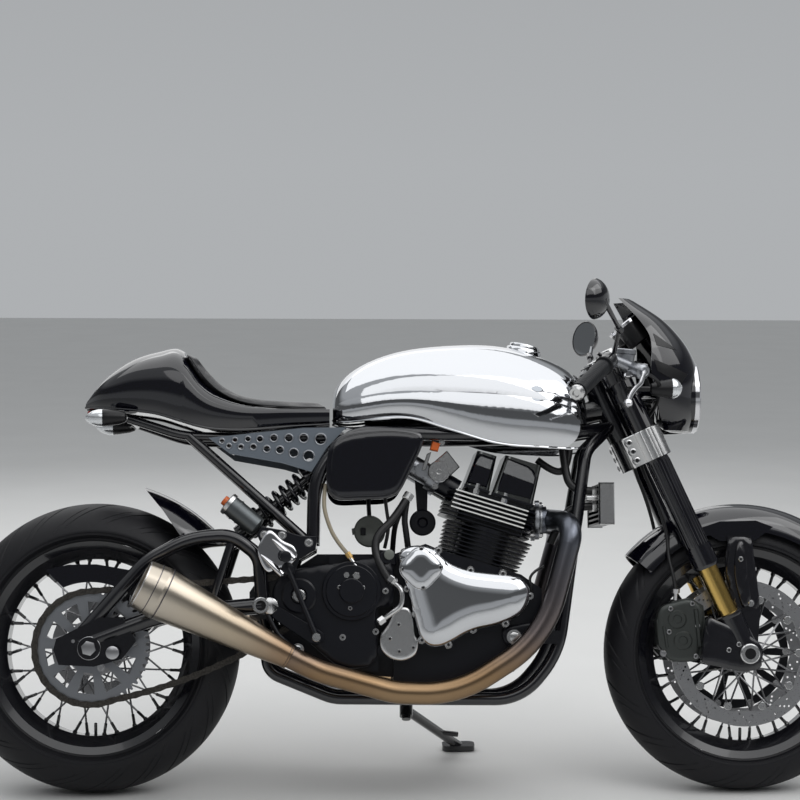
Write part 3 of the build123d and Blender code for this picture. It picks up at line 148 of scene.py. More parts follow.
FINISHES = {  # finish: the record's slot that it stands for, and its material
    "pipe_steel": ("pipe_steel", tinted("pipe_steel", "Z", 0.18, 0.60, 0.30, (
        (0.0, (0.38, 0.27, 0.16)), (0.30, (0.26, 0.17, 0.095)), (0.52, (0.15, 0.125, 0.12)),
        (1.0, (0.135, 0.145, 0.17))))),
    "megaphone_steel": ("pipe_steel", tinted("megaphone_steel", "X", -0.66, -0.26, 0.28, (
        (0.0, (0.40, 0.35, 0.29)), (0.3, (0.52, 0.47, 0.40)), (0.7, (0.44, 0.37, 0.28)),
        (1.0, (0.28, 0.19, 0.12))))),
}
for name, slot, color, metallic, roughness, others in (
        ("tyre_rubber", "", (0.006, 0.006, 0.008), 0, 0.52, dict(bump=0.2, grain=900, shade=0.3, shine=0.3)),
        ("black_paint", "", (0.0035, 0.0035, 0.006), 0, 0.20, dict(spread=0.05, grain=60, coat=0.6)),
        ("black_gloss", "", (0.002, 0.002, 0.005), 0, 0.08,
         dict(spread=0.02, grain=40, coat=0.9, shine=0.45)),
        ("black_casting", "", (0.0025, 0.003, 0.006), 0, 0.32, dict(bump=0.25, grain=1200, shine=0.35)),
        ("black_plastic", "", (0.006, 0.006, 0.007), 0, 0.32, dict(bump=0.15, grain=900, shine=0.35)),
        ("grip_rubber", "", (0.007, 0.008, 0.010), 0, 0.5, dict(bump=0.3, grain=800, shine=0.3)),
        ("pad_leather", "", (0.010, 0.010, 0.012), 0, 0.38, dict(bump=0.5, grain=700)),
        ("grey_paint", "", (0.120, 0.140, 0.165), 0, 0.34, dict(spread=0.05, grain=100)),
        ("spoke_steel", "", (0.30, 0.30, 0.31), 1, 0.30, dict(spread=0.1, grain=200)),
        ("disc_steel", "", (0.42, 0.42, 0.43), 1, 0.30, dict(spread=0.08, grain=300)),
        ("chain_steel", "", (0.06, 0.055, 0.05), 0.8, 0.45, dict(shade=0.4, grain=250)),
        ("grey_alloy", "", (0.30, 0.31, 0.33), 1, 0.36, dict(bump=0.2, grain=1500)),
        ("polished_alloy", "", (0.60, 0.61, 0.63), 1, 0.06, dict(spread=0.02, grain=30)),
        ("gold_steel", "", (0.62, 0.42, 0.13), 1, 0.18, dict(spread=0.04, grain=200)),
        ("chrome", "polished_alloy", (0.68, 0.68, 0.70), 1, 0.08, {}),
        ("mirror_glass", "polished_alloy", (0.70, 0.73, 0.76), 1, 0.03, {}),
        ("reflector", "polished_alloy", (0.90, 0.90, 0.90), 1, 0.12, {}),
        ("bright_alloy", "grey_alloy", (0.62, 0.62, 0.62), 1, 0.24, dict(spread=0.06, grain=300)),
        ("fin_edge", "grey_alloy", (0.86, 0.86, 0.84), 0.5, 0.42, {}),
        ("caliper_paint", "grey_alloy", (0.050, 0.055, 0.052), 0.6, 0.40, dict(bump=0.2, grain=900)),
        ("bolt_steel", "spoke_steel", (0.46, 0.46, 0.47), 1, 0.28, {}),
        ("brass", "gold_steel", (0.55, 0.36, 0.14), 1, 0.30, {}),
        ("dark_polish", "black_gloss", (0.16, 0.165, 0.16), 1, 0.14, dict(spread=0.03, grain=40)),
        ("canister_grey", "black_casting", (0.11, 0.12, 0.125), 0.8, 0.36, dict(spread=0.06, grain=200)),
        ("horn_grey", "black_casting", (0.13, 0.14, 0.125), 0, 0.42, {}),
        ("braid", "grip_rubber", (0.30, 0.26, 0.19), 0, 0.55, dict(bump=0.6, grain=1200)),
        ("hose", "grip_rubber", (0.009, 0.009, 0.010), 0, 0.42, {}),
        ("orange_cap", "black_plastic", (0.60, 0.12, 0.02), 0, 0.35, {}),
        ("dial_face", "black_plastic", (0.55, 0.56, 0.56), 0, 0.35, {}),
        ("lens", "black_plastic", (0.92, 0.94, 0.95), 0, 0.03, dict(clear=1.0)),
        ("pale_lens", "black_plastic", (0.72, 0.74, 0.76), 0.7, 0.14, dict(coat=1.0)),
        ("red_lens", "black_plastic", (0.30, 0.005, 0.005), 0, 0.10, dict(coat=1.0))):
    FINISHES[name] = (slot or name, material(name, color, metallic, roughness, **others))
NODE_FINISH = {  # nodes whose finish isn't their slot's
    "megaphones": "megaphone_steel", "rocker_boxes": "dark_polish", "front_calipers": "caliper_paint",
    "disc_carriers": "black_casting", "sprocket": "grey_alloy", "rearsets": "bright_alloy",
}
slots = {entry["node"]: entry["material_slot"] for entry in frame["record"]["subparts"]}
for name, node in frame["nodes"].items():
    node.data.materials.clear()
    node.data.materials.append(FINISHES[NODE_FINISH.get(name, slots[name])][1])


def circle(centre, radius, out, steps=32):
    """Points round a circle that faces a direction."""
    across = out.orthogonal().normalized()
    other = out.cross(across)
    return [Vector(centre) + (across * cos(2 * pi * k / steps) + other * sin(2 * pi * k / steps)) * radius
            for k in range(steps)]


class Shape:
    """Gathers faces, in millimetres with the machine upright, that become one piece."""

    def __init__(self):
        self.points, self.faces = [], []

    def add(self, points, faces):
        base = len(self.points)
        self.points += [Vector(point) for point in points]
        self.faces += [tuple(base + corner for corner in face) for face in faces]

    def grid(self, rows, closed=False, ring=False, ends=False):
        """Joins rows of points into a skin.

        closed joins the ends of each row, ring the last row to the first, and ends gives both a face."""
        wide, tall = len(rows[0]), len(rows)
        faces = []
        for i in range(tall if ring else tall - 1):
            above = (i + 1) % tall
            for j in range(wide if closed else wide - 1):
                beside = (j + 1) % wide
                faces.append((i * wide + j, i * wide + beside, above * wide + beside, above * wide + j))
        self.add([point for row in rows for point in row], faces)
        if ends:
            for row in (rows[0], rows[-1]):
                self.add(row, [range(wide)])

    def turned(self, at, along, profile, steps=20):
        """A turned form: its profile is pairs of distance along the axis and radius, closed at both ends."""
        at, along = Vector(at), Vector(along).normalized()
        self.grid([circle(at + along * distance, radius, along, steps) for distance, radius in profile],
                  closed=True, ends=True)

    def bolt(self, at, along, radius, height=None, socket=False):
        """A screw head on its washer: hexagonal, or round with a socket."""
        height = height or radius
        self.turned(at, along, ((0, radius * 1.45), (1.2, radius * 1.45), (1.2, radius)), 16)
        if socket:
            self.turned(at, along, ((1, radius), (height - 0.6, radius), (height, radius * 0.88),
                                    (height, radius * 0.5), (height * 0.45, radius * 0.5)), 16)
        else:
            self.turned(at, along, ((1, radius), (height - 0.6, radius), (height, radius * 0.86)), 6)

    def tube(self, path, radius, sides=10, closed=False):
        """A round tube along points, its radius one figure or one for each point."""
        path = [Vector(point) for point in path]
        count = len(path)
        radii = radius if isinstance(radius, list) else [radius] * count
        side = None
        rows = []
        for k, point in enumerate(path):
            before = path[k - 1] if k or closed else point
            after = path[(k + 1) % count] if k < count - 1 or closed else point
            ahead = (after - before).normalized()
            side = ahead.orthogonal() if side is None else side - ahead * side.dot(ahead)
            side.normalize()
            other = ahead.cross(side)
            rows.append([point + (side * cos(2 * pi * n / sides) + other * sin(2 * pi * n / sides)) * radii[k]
                         for n in range(sides)])
        self.grid(rows, closed=True, ring=closed, ends=not closed)

    def slab(self, outline, out, thickness, bevel=0.0, base=0.0):
        """A flat plate: an outline in space, raised by thickness along out, its outer edge bevelled."""
        out = Vector(out).normalized()
        points = [Vector(point) + out * base for point in outline]
        count = len(points)
        inner = []
        for k, point in enumerate(points):
            after = points[(k + 1) % count]
            inward = out.cross((point - points[k - 1]).normalized()) + out.cross((after - point).normalized())
            inner.append(inward / max(0.6, inward.length) if inward.length else inward)
        turn = 1 if sum(p.cross(points[(k + 1) % count]).dot(out) for k, p in enumerate(points)) > 0 else -1
        edge = [p + out * (thickness - bevel) for p in points]
        face = [p + out * thickness + n * bevel * turn for p, n in zip(points, inner)]
        self.grid([points, edge, face], closed=True, ends=True)

    def plate(self, outline, y, thickness, bevel=0.0):
        """A slab that faces right, its outline in the side view."""
        self.slab(side(outline, y), RIGHT, thickness, bevel)

    def both(self):
        """Adds the mirror image across the middle of the machine."""
        self.add([Vector((p.x, -p.y, p.z)) for p in self.points],
                 [tuple(reversed(face)) for face in self.faces])
        return self


def some_shapes(count):
    return [Shape() for k in range(count)]


def solid_mesh(name, shape):
    """The mesh of a shape in the row frame, its doubled points joined and its faces turned outwards."""
    mesh = bpy.data.meshes.new(name)
    mesh.from_pydata([PARK @ point for point in shape.points], [], shape.faces)
    work = bmesh.new()
    work.from_mesh(mesh)
    bmesh.ops.remove_doubles(work, verts=work.verts, dist=WELD)
    bmesh.ops.recalc_face_normals(work, faces=work.faces)
    work.to_mesh(mesh)
    work.free()
    return mesh


def placed(name, data, finish, body):
    """An object of a finish that rides on a body."""
    slot, look = FINISHES[finish]
    data.materials.append(look)
    made = bpy.data.objects.new(name, data)
    scene.collection.objects.link(made)
    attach(made, body)
    return made


def piece(name, shape, finish, replaces=None, body="chassis"):
    """Makes one piece of a shape, which rides on a body and may stand for a node of the CAD model."""
    mesh = solid_mesh(name, shape)
    mesh.polygons.foreach_set("use_smooth", [True] * len(mesh.polygons))
    mesh.set_sharp_from_angle(angle=CREASE)
    made = placed(name, mesh, finish, body)
    if replaces:
        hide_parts(replaces)
    return made


def pieces(body, *rows):
    """Makes pieces on one body: rows of name, shape, finish and the node that it stands for, if any."""
    for row in rows:
        piece(*row, body=body)


def evaluated(made):
    """The mesh of an object with its modifiers."""
    return bpy.data.meshes.new_from_object(made.evaluated_get(bpy.context.evaluated_depsgraph_get()))


def hose(name, points, radius, length, finish, body):
    """A flexible line: a smooth curve along a route, of its thickness in millimetres; its length is not used."""
    curve = bpy.data.curves.new(name, "CURVE")
    curve.dimensions = "3D"
    curve.bevel_depth = radius / 1000
    curve.bevel_resolution = 5
    curve.resolution_u = 10
    curve.use_fill_caps = True
    spline = curve.splines.new("NURBS")
    spline.points.add(len(points) - 1)
    for point, place in zip(spline.points, points):
        point.co = (*(PARK @ Vector(place)), 1)
    spline.order_u = 3
    spline.use_endpoint_u = True
    made = placed(name, curve, finish, body)


def flowing(points, per=8, closed=False):
    """A smooth path through a few points."""
    points = [Vector(point) for point in points]
    count = len(points)
    path = []
    for k in range(count if closed else count - 1):
        a = points[k - 1] if k or closed else points[0]
        b, c = points[k], points[(k + 1) % count]
        d = points[(k + 2) % count] if closed or k + 2 < count else points[-1]
        for step in range(per):
            t = step / per
            path.append(0.5 * (2 * b + (c - a) * t + (2 * a - 5 * b + 4 * c - d) * t**2
                               + (3 * b - a - 3 * c + d) * t**3))
    return path if closed else path + [points[-1]]


def flat_flow(points, per=8, closed=False):
    """A smooth line of the side view through a few points."""
    return [(p.x, p.z) for p in flowing([(x, 0, z) for x, z in points], per, closed)]


def rounded(outline, per=4):
    """A smooth closed outline of the side view through a few points."""
    return flat_flow(outline, per, closed=True)


def side(points, y):
    """Points of the side view, x and z, at a distance y from the middle of the machine."""
    return [Vector((x, y, z)) for x, z in points]


def around(centre, radius, angle, y=0.0):
    """A point at an angle round a centre in the side view, moved sideways."""
    return centre + Vector((radius * cos(angle), y, radius * sin(angle)))


def fork(up, y=0.0, ahead=0.0):
    """A point measured up the fork from the axle, sideways and ahead of the leg."""
    return FRONT_AXLE + UP_FORK * up + AHEAD_OF_FORK * ahead + Vector((0, y, 0))


def cylinder(up, y=0.0, ahead=0.0):
    """A point measured up the cylinders from the deck, sideways and ahead of their axis."""
    return DECK + UP_CYLINDER * up + ALONG_CYLINDER * ahead + Vector((0, y, 0))


def point(ahead, aside, above):
    """A point measured from the front axle."""
    return FRONT_AXLE + Vector((ahead, aside, above))


def near_axle(outline):
    """An outline of the side view measured from the front axle."""
    return [(FRONT_AXLE.x + x, FRONT_AXLE.z + z) for x, z in outline]


# Wheels

TREAD = []  # column within a pitch, side that its groove is on, start and end of the groove across the tyre
for first, hand, start, end, columns in (
        (0.0, 1, 0.10, 0.86, (0.014, 0.052, 0.066)), (0.25, 1, 0.42, 0.92, (0.012, 0.042, 0.054)),
        (0.5, -1, 0.10, 0.86, (0.014, 0.052, 0.066)), (0.75, -1, 0.42, 0.92, (0.012, 0.042, 0.054))):
    groove, plain = (hand, start, end), (0, 0, 0)
    kinds = (plain, groove, groove, plain, plain)
    TREAD += [(first + column, *kind) for column, kind in zip((0, *columns, 0.15), kinds)]


def tyre(name, axle, width, drop, bead, pitches, sweep):
    """A road tyre whose grooves run along the columns of its skin, swept back from the crown."""
    half = width / 2
    crown = (half**2 + drop**2) / (2 * drop)
    shoulder = asin(half / crown)
    edge = axle.z - drop
    wall = [  # aside, radius: from the shoulder down to the bead, with its moulded rings
        (half + 0.8, edge - 3), (half + 0.6, edge - 6), (half - 0.6, edge - 7), (half - 1.5, edge - 11),
        (half - 1.3, edge - 12), (half - 2.6, edge - 13), (bead + 8, 236), (bead + 8.6, 234),
        (bead + 6.5, 230.6),
    ]
    across = [(crown * sin(shoulder * s), axle.z - crown + crown * cos(shoulder * s), s)
              for s in [2 * k / CROSSINGS - 1 for k in range(CROSSINGS + 1)]]
    rows = []
    for y, r, s in [(-y, r, -1.0) for y, r in reversed(wall)] + across + [(y, r, 1.0) for y, r in wall]:
        row = []
        for pitch in range(pitches):
            for column, hand, start, end in TREAD:
                depth = 0.0
                if s * hand > 0:
                    depth = GROOVE_DEPTH * max(0.0, min(1.0, min(abs(s) - start, end - abs(s)) / 0.05))
                angle = 2 * pi * (pitch + column) / pitches + sweep * abs(s) ** 1.4
                row.append(around(axle, r - depth, angle, y))
        rows.append(row)
    skin = Shape()
    skin.grid(rows, closed=True)
    piece(f"{name}_tread", skin, "tyre_rubber", f"{name}_tyre", f"{name}_wheel")


# name, axle, width, drop to the shoulder, half width at the beads, groove pitches, their sweep
tyre("front", FRONT_AXLE, 120, 50, 44, 18, 0.34)
tyre("rear", REAR_AXLE, 180, 60, 70, 20, 0.46)

for name, axle, flange, flange_y in (("front", FRONT_AXLE, 39, 36), ("rear", REAR_AXLE, 57, 52)):
    nipples = Shape()
    for pair in range(18):
        lean = 1 if pair % 2 else -1
        for lay in (-1, 1):
            start = around(axle, flange, radians(20 * pair - lay * 38), lean * flange_y)
            end = around(axle, 196, radians(20 * pair + lay * 4.5), lean * 8)
            back = (start - end).normalized()
            nipples.turned(end, back, ((0, 5.2), (7, 5.2), (9, 3.6), (30, 3.4), (31, 2.4)), 8)
            nipples.turned(start - back * 6, back, ((0, 4.2), (4, 4.2), (5, 2.6)), 8)
    # Valve
    nipples.turned(axle - UP * 196, (0, -0.2, 1), ((0, 5), (4, 5), (5, 3.6), (30, 3.6), (31, 2.6)), 10)
    piece(f"{name}_nipples", nipples, "black_paint", body=f"{name}_wheel")


# Front discs: drilled, with a scalloped inner edge that the bobbins sit in

BOBBINS = 10
DRILLED = ((133, -5.0), (139, -2.0), (145, 1.0), (151, 4.0), (136, 7.0), (148, -9.0))  # radius, degrees


def pierced(shape, centre, out, outlines, thickness):
    """A plate within the first of its flat outlines, the others its holes, lying across a direction."""
    curve = bpy.data.curves.new("pierced", "CURVE")
    curve.dimensions = "2D"
    curve.fill_mode = "BOTH"
    curve.extrude = thickness / 2
    for outline in outlines:
        spline = curve.splines.new("POLY")
        spline.points.add(len(outline) - 1)
        for point, (x, y) in zip(spline.points, outline):
            point.co = (x, y, 0, 1)
        spline.use_cyclic_u = True
    holder = bpy.data.objects.new("pierced", curve)
    scene.collection.objects.link(holder)
    made = evaluated(holder)
    other = out.cross(FORWARD)
    shape.add([centre + FORWARD * v.co.x + other * v.co.y + out * v.co.z for v in made.vertices],
              [tuple(face.vertices) for face in made.polygons])
    bpy.data.objects.remove(holder)
    bpy.data.curves.remove(curve)
    bpy.data.meshes.remove(made)


def ring_outline(radius, steps=120, wave=0.0, centre=(0, 0)):
    """A flat circle, or one whose radius waves once for each bobbin."""
    turns = [2 * pi * k / steps for k in range(steps)]
    return [(centre[0] + (radius + wave * cos(BOBBINS * a)) * cos(a),
             centre[1] + (radius + wave * cos(BOBBINS * a)) * sin(a)) for a in turns]


discs, bobbins, disc_bolts, sprocket_bolts = some_shapes(4)
for out in (RIGHT, LEFT):
    outlines = [ring_outline(159.5), ring_outline(127.5, wave=2.5)]
    for group in range(BOBBINS):
        for radius, swing in DRILLED:
            angle = radians(36 * group + swing + 18)
            outlines.append(ring_outline(2.6, 8, centre=(radius * cos(angle), radius * sin(angle))))
    centre = FRONT_AXLE + out * 64
    pierced(discs, centre, out, outlines, 5)
    for k in range(BOBBINS):
        bobbins.turned(around(centre, 121, radians(36 * k)) - out * 4, out,
                       ((0, 9), (8.5, 9), (9.5, 8), (9.5, 4), (7, 4)), 16)
    for k in range(5):
        disc_bolts.bolt(around(centre, 35, radians(72 * k + 20)) + out * 1.5, out, 5, socket=True)
for k in range(5):
    sprocket_bolts.bolt(around(REAR_AXLE, 34, radians(72 * k + 12), -110), RIGHT, 6)
pieces("front_wheel", ("front_discs_drilled", discs, "disc_steel", "front_discs"),
       ("disc_bobbins", bobbins, "bright_alloy"), ("disc_bolts", disc_bolts, "bolt_steel"))
pieces("rear_wheel", ("sprocket_bolts", sprocket_bolts, "bolt_steel"))


def depth_inside(point, outline):
    """Distance from a point to the nearest edge of an outline, both flat."""
    best = 1e9
    px, pz = point
    for k, (ax, az) in enumerate(outline):
        bx, bz = outline[k - 1]
        ux, uz = bx - ax, bz - az
        t = max(0.0, min(1.0, ((px - ax) * ux + (pz - az) * uz) / (ux * ux + uz * uz + 1e-9)))
        dx, dz = px - ax - ux * t, pz - az - uz * t
        best = min(best, dx * dx + dz * dz)
    return best ** 0.5


def inside(spot, outline):
    """Whether a flat point lies within an outline."""
    px, pz = spot
    odd = False
    for k, (ax, az) in enumerate(outline):
        bx, bz = outline[k - 1]
        if (az > pz) != (bz > pz) and px < ax + (pz - az) * (bx - ax) / (bz - az):
            odd = not odd
    return odd


def extent(outline):
    """Where a flat outline starts and how long it is, along either axis."""
    return [(min(values), max(values) - min(values)) for values in zip(*outline)]


def filled(outline, points, spots, depth):
    """Faces over an outline through points, and through those of the spots deeper inside than depth."""
    points = points + [Vector(s) for s in spots if inside(s, outline) and depth_inside(s, outline) > depth]
    found, _, faces, *_ = delaunay_2d_cdt(points, [], [list(range(len(outline)))], 1, 0.01)
    return found, faces


def pillow(shape, base, edge, top, soft, step, outline):
    """A cast cover in the side view: a wall from y base to y edge, then a face that swells to y top.

    The swelling takes the distance soft from the outline, and rings of points follow the outline there."""
    points = [Vector(p) for p in outline]
    count = len(points)
    rings = [depth for depth in (0.5, 1.6, 3.6, 6.8, 11.0) if depth < 2.6 * step]
    for k in range(count):
        along = (points[(k + 1) % count] - points[k - 1]).normalized()
        for across in (Vector((-along.y, along.x)), Vector((along.y, -along.x))):
            if inside(points[k] + across * rings[0], outline):
                for depth in rings:
                    spot = points[k] + across * depth
                    if inside(spot, outline) and depth_inside(spot, outline) > 0.95 * depth:
                        points.append(spot)
    (x, wide), (z, tall) = extent(outline)
    spots = [(x + (i + 0.5 * (k % 2)) * step, z + k * step)
             for i in range(int(wide / step) + 1) for k in range(int(tall / step) + 1)]
    found, faces = filled(outline, points, spots, rings[-1] + 0.5 * step)
    skin = []
    for p in found:
        near = min(1.0, depth_inside(p, outline) / soft)
        skin.append(Vector((p.x, edge + (top - edge) * (1 - (1 - near) ** 2.2) ** 0.5, p.y)))
    shape.add(skin, faces)
    shape.grid([side(outline, base), side(outline, edge)], closed=True)
    shape.add(side(outline, base), [range(count)])


# Engine: covers

# sockets gathers black discs of painted shade, laid in the sockets and recesses of screws
covers, screws, sockets, casting, filter_cover, mounts = some_shapes(6)


def socket_screws(y, radius, height, *places):
    """Socket screws on the right side at places of the side view, each with a black disc of painted shade in its
    socket.
    """
    for x, z in places:
        screws.bolt((x, y, z), RIGHT, radius, height, socket=True)
        # a black disc in the socket: painted shade
        sockets.turned((x, y - height - 0.1, z), RIGHT, ((0, radius * 0.62), (0.4, radius * 0.62)), 6)


pillow(covers, -108, -140, -162, 62, 4.5, rounded((
    (-50, 500), (-44, 521), (-25, 532), (2, 533), (28, 525), (60, 497), (101, 481), (150, 474), (202, 468),
    (226, 452), (234, 428), (224, 398), (204, 379), (162, 362), (120, 353), (92, 342), (68, 328), (40, 316),
    (14, 318), (-4, 336), (-14, 368), (-30, 428))))
pillow(covers, 108, 140, 153, 26, 8, rounded((
    (60, 492), (-30, 510), (-98, 490), (-128, 450), (-136, 400), (-118, 356), (-90, 330), (-40, 312),
    (20, 302), (80, 306), (120, 318), (170, 352), (186, 400), (176, 450), (148, 480), (104, 487))))
cap = [(-3 + (42 + 3 * cos(4 * a)) * cos(a + 0.02), 484 + (42 + 3 * cos(4 * a)) * sin(a + 0.02))
       for a in [2 * pi * k / 48 for k in range(48)]]
pillow(covers, -140, -162, -171, 32, 4, cap)
covers.tube(side(cap, -161.5), 1.6, 8, closed=True)
COVER_SCREWS = ((-37, 519), (36, 523), (-31, 441), (-13, 387), (0, 331), (57, 321), (110, 353), (180, 366),
                (233, 425), (175, 473), (105, 480))
for x, z in COVER_SCREWS:
    screws.turned((x, -128, z), RIGHT, ((0, 9), (14, 9), (16, 7.5), (16, 5)), 16)
socket_screws(-143, 5.4, 4, *COVER_SCREWS)
socket_screws(-163, 4.6, 4.5, (-2, 525), (-41, 482), (2, 443), (39, 486))

pillow(casting, -122, -133, -138, 12, 7, rounded((
    (-250, 487), (-292, 476), (-318, 446), (-320, 412), (-304, 380), (-262, 344), (-202, 291), (-176, 276),
    (-146, 270), (-100, 284), (-96, 340), (-97, 398), (-62, 412), (-70, 505), (-160, 497)), 3))
for radius, height in ((64, 12), (56, 15), (44, 13), (27, 20)):
    casting.turned((-151, -134, 436), RIGHT,
                   ((0, radius), (height - 2, radius), (height, radius - 2), (height, radius - 6)), 48)
casting.turned((-264, -134, 426), RIGHT, ((0, 38), (8, 38), (11, 34), (11, 18), (6, 16)), 36)
pillow(filter_cover, -108, -144, -149, 7, 4, rounded((
    (-55, 398), (-30, 400), (-20, 376), (-16, 345), (-8, 325), (-14, 300), (-40, 287), (-68, 292),
    (-88, 312), (-89, 340), (-72, 366))))
socket_screws(-147, 4.6, 4, (-50, 364), (-69, 334), (-49, 307), (-19, 315))
socket_screws(-146, 4.8, 4, (-177, 444), (-127, 443), (-154, 399), (-78, 436))
socket_screws(-137, 4.8, 4, (-170, 337), (-99, 349))
screws.turned((-264, -140, 426), RIGHT, ((0, 14), (7, 14), (9, 12), (9, 6), (4, 6)), 24)
# a black disc at the bottom of the recess: painted shade
sockets.turned((-264, -144.5, 426), RIGHT, ((0, 5.8), (0.6, 5.8)), 20)
screws.turned((-345, -150, 405), RIGHT, ((0, 18), (8, 18), (10, 16), (10, 11), (4, 11)), 28)
screws.turned((-326, -146, 404), RIGHT, ((0, 18), (5, 18), (6, 16.5)), 28)
# a black disc at the bottom of the recess: painted shade
sockets.turned((-345, -154.5, 405), RIGHT, ((0, 10.8), (1, 10.8)), 24)
screws.bolt((-266, -124, 311), RIGHT, 9, 8, socket=True)
screws.bolt((-222, -134, 333), RIGHT, 8, 9)
screws.bolt((200, -122, 337), RIGHT, 11, 8)
pillow(mounts, -104, -118, -121, 6, 6, rounded((
    (176, 352), (180, 326), (200, 314), (222, 322), (246, 352), (240, 366), (206, 362)), 3))
mounts.plate(((-98, 525), (-58, 522), (-54, 492), (-94, 488)), -112, 20, 3)
mounts.turned((-77, -130, 508), RIGHT, ((0, 14), (8, 14), (10, 12), (10, 7), (6, 7)), 24)
mounts.turned((-86, -118, 309), RIGHT, ((0, 11), (14, 11), (14, 6)), 18)

# Engine: cylinders

edges, flanges, studs, fins, caps, panels = some_shapes(6)


def rib(shape, up, y, rear, front, height, thickness, bevel=0.0, base=0.0):
    """A bar on the cylinders' side at y, from its rear to its front end, which stands out sideways."""
    corners = ((up, rear), (up, front), (up + height, front), (up + height, rear))
    shape.slab([cylinder(a, y, b) for a, b in corners], (0, y, 0), thickness, bevel, base)


for fin in range(5):
    for y in (-100.6, 100.6):
        rib(edges, 97.2 + 9.43 * fin, y, -94, 72, 3.2, 2.0, 0.3, -0.4)
for x, z in ((119, 663), (180, 642)):
    for y in (-90, 90):
        screws.turned((x, y, z - 16), UP_CYLINDER, ((0, 8), (12, 8), (12, 5), (24, 5)), 6)
for y in (-50, 50):
    flanges.turned((252, y, 592), FORWARD, ((0, 31), (4, 33), (9, 33), (12, 30), (22, 29), (24, 25)), 32)
    for z in (559, 625):
        flanges.turned((254, y, z), FORWARD, ((0, 10), (8, 10), (9, 8)), 16)
        screws.bolt((262, y, z), FORWARD, 6.5, 8)
        screws.turned((224, y, z), FORWARD, ((0, 4), (48, 4)), 8)
for ahead, half_length, half in ((-50, 29, 89), (31, 48, 93)):
    for y in (-half, half):
        rib(studs, 149, y, ahead - half_length, ahead + half_length, 6, 2.5, 1)
for y in (-92, 92):
    for fin in range(8):
        rib(fins, 4 + 9 * fin, y, -76 - 0.7 * fin, 76 + 1.9 * fin, 2.6, 14.5)
    for fin in range(2):
        rib(fins, 79 + 9.43 * fin, y, -93, 75, 2.6, 12)
for shape, thickness, bevel, y, outlines in (
        (caps, 8.5, 4, 84, (((158, -8), (162, 70), (214, 68), (226, 58), (232, 44), (236, -4)),
                            ((158, -74), (160, -30), (226, -30), (228, -66), (214, -72)))),
        (panels, 2.4, 1.4, 92.4, (((202, -6), (198, 66), (212, 64), (223, 55), (229, 42), (233, -4)),
                                  ((202, -69), (200, -34), (222, -34), (223, -63), (212, -68))))):
    for out in (RIGHT, LEFT):
        for corners in outlines:
            shape.slab([cylinder(up, out.y * y, ahead) for up, ahead in corners], out + UP_CYLINDER * 0.074,
                       thickness, bevel)

# Throttle bodies, horn, pipes and hoses

throttle, plug, dark, horn, fittings, union = some_shapes(6)
throttle.turned((40, -92, 696), RIGHT, ((0, 24), (5, 24), (7, 22), (7, 6), (5, 5)), 28)
throttle.plate(((30, 718), (58, 742), (86, 706), (60, 682)), -80, 16, 3)
throttle.plate(((14, 735), (24, 740), (12, 700), (2, 698)), -84, 7, 1.5)
for x, z in ((47, 760), (32, 664)):
    throttle.bolt((x, -92, z), RIGHT, 4.6, 4, socket=True)
for x, z in ((24, 692), (30, 681), (42, 677), (54, 683), (40, 713)):
    throttle.bolt((x, -98, z), RIGHT, 2.6, 2.4, socket=True)
plug.plate(((20, 744), (38, 740), (43, 758), (26, 764)), -78, 18, 3)
dark.turned((7, -14, 587), RIGHT, ((0, 18), (6, 29), (16, 29), (19, 26), (19, 12), (15, 8)), 36)
dark.turned((7, -14, 587), LEFT, ((0, 18), (14, 10), (20, 9)), 24)
dark.plate(((-4, 606), (18, 606), (20, 690), (-10, 690)), -6, 5, 1)
dark.plate(((-130, 576), (-119, 576), (-119, 560), (-130, 560)), -22, 6, 1)
dark.tube([(-110, 0, 566), (-110, 20, 600), (-112, 30, 640)], 5, 6)
horn.turned((-110, -6, 568), RIGHT, ((0, 26), (4, 35), (14, 35), (17, 32), (18, 14), (16, 10)), 36)
horn.plate(((-150, 574), (-138, 578), (-134, 564), (-148, 560)), -10, 6, 1)
horn.turned((-70, -135, 514), RIGHT, ((0, 11), (5, 11), (6, 9)), 24)
for name, finish, radius, length, route in (
        ("oil_hose", "hose", 9, 229, ((-24, -98, 647), (-55, -112, 594), (-94, -122, 560), (-102, -128, 527),
                                      (-89, -136, 488), (-67, -140, 455))),
        ("breather_hose", "hose", 6, 153, ((-21, -70, 649), (-40, -66, 615), (-52, -60, 590), (-58, -40, 560),
                                           (-60, -20, 515))),
        ("return_hose", "hose", 7, 112, ((-27, -58, 640), (-36, -60, 600), (-30, -60, 560), (-26, -52, 530))),
        ("loom", "hose", 4, 113, ((-77, -70, 640), (-74, -74, 610), (-67, -70, 575), (-78, -60, 530))),
        ("tank_hose", "hose", 8, 118, ((262, -30, 726), (298, -38, 696), (328, -42, 704), (334, -34, 752))),
        ("cooler_hose_upper", "hose", 9, 146, ((392, -56, 655), (350, -60, 656), (328, -60, 672),
                                               (322, -50, 706), (318, -40, 748))),
        ("cooler_hose_lower", "hose", 9, 149, ((392, -56, 622), (352, -60, 622), (326, -60, 612),
                                               (304, -56, 580), (288, -50, 540))),
        ("clutch_hose", "braid", 4.5, 167, ((-207, -112, 667), (-213, -122, 630), (-205, -130, 590),
                                            (-186, -136, 545), (-160, -140, 516))),
        ("sender_wire", "hose", 3, 75, ((266, -118, 490), (244, -122, 478), (233, -124, 461),
                                        (240, -122, 444), (236, -116, 432)))):
    hose(name, route, radius, length, finish, "chassis")
for radius, path in (
        (4, ((-158, -140, 512), (-146, -142, 496), (-140, -144, 484), (-141, -146, 468))),
        (6, ((-58, -140, 452), (-46, -148, 440), (-43, -150, 420), (-48, -150, 402), (-66, -148, 388),
             (-82, -142, 376)))):
    fittings.tube(flowing(path), radius, 12)
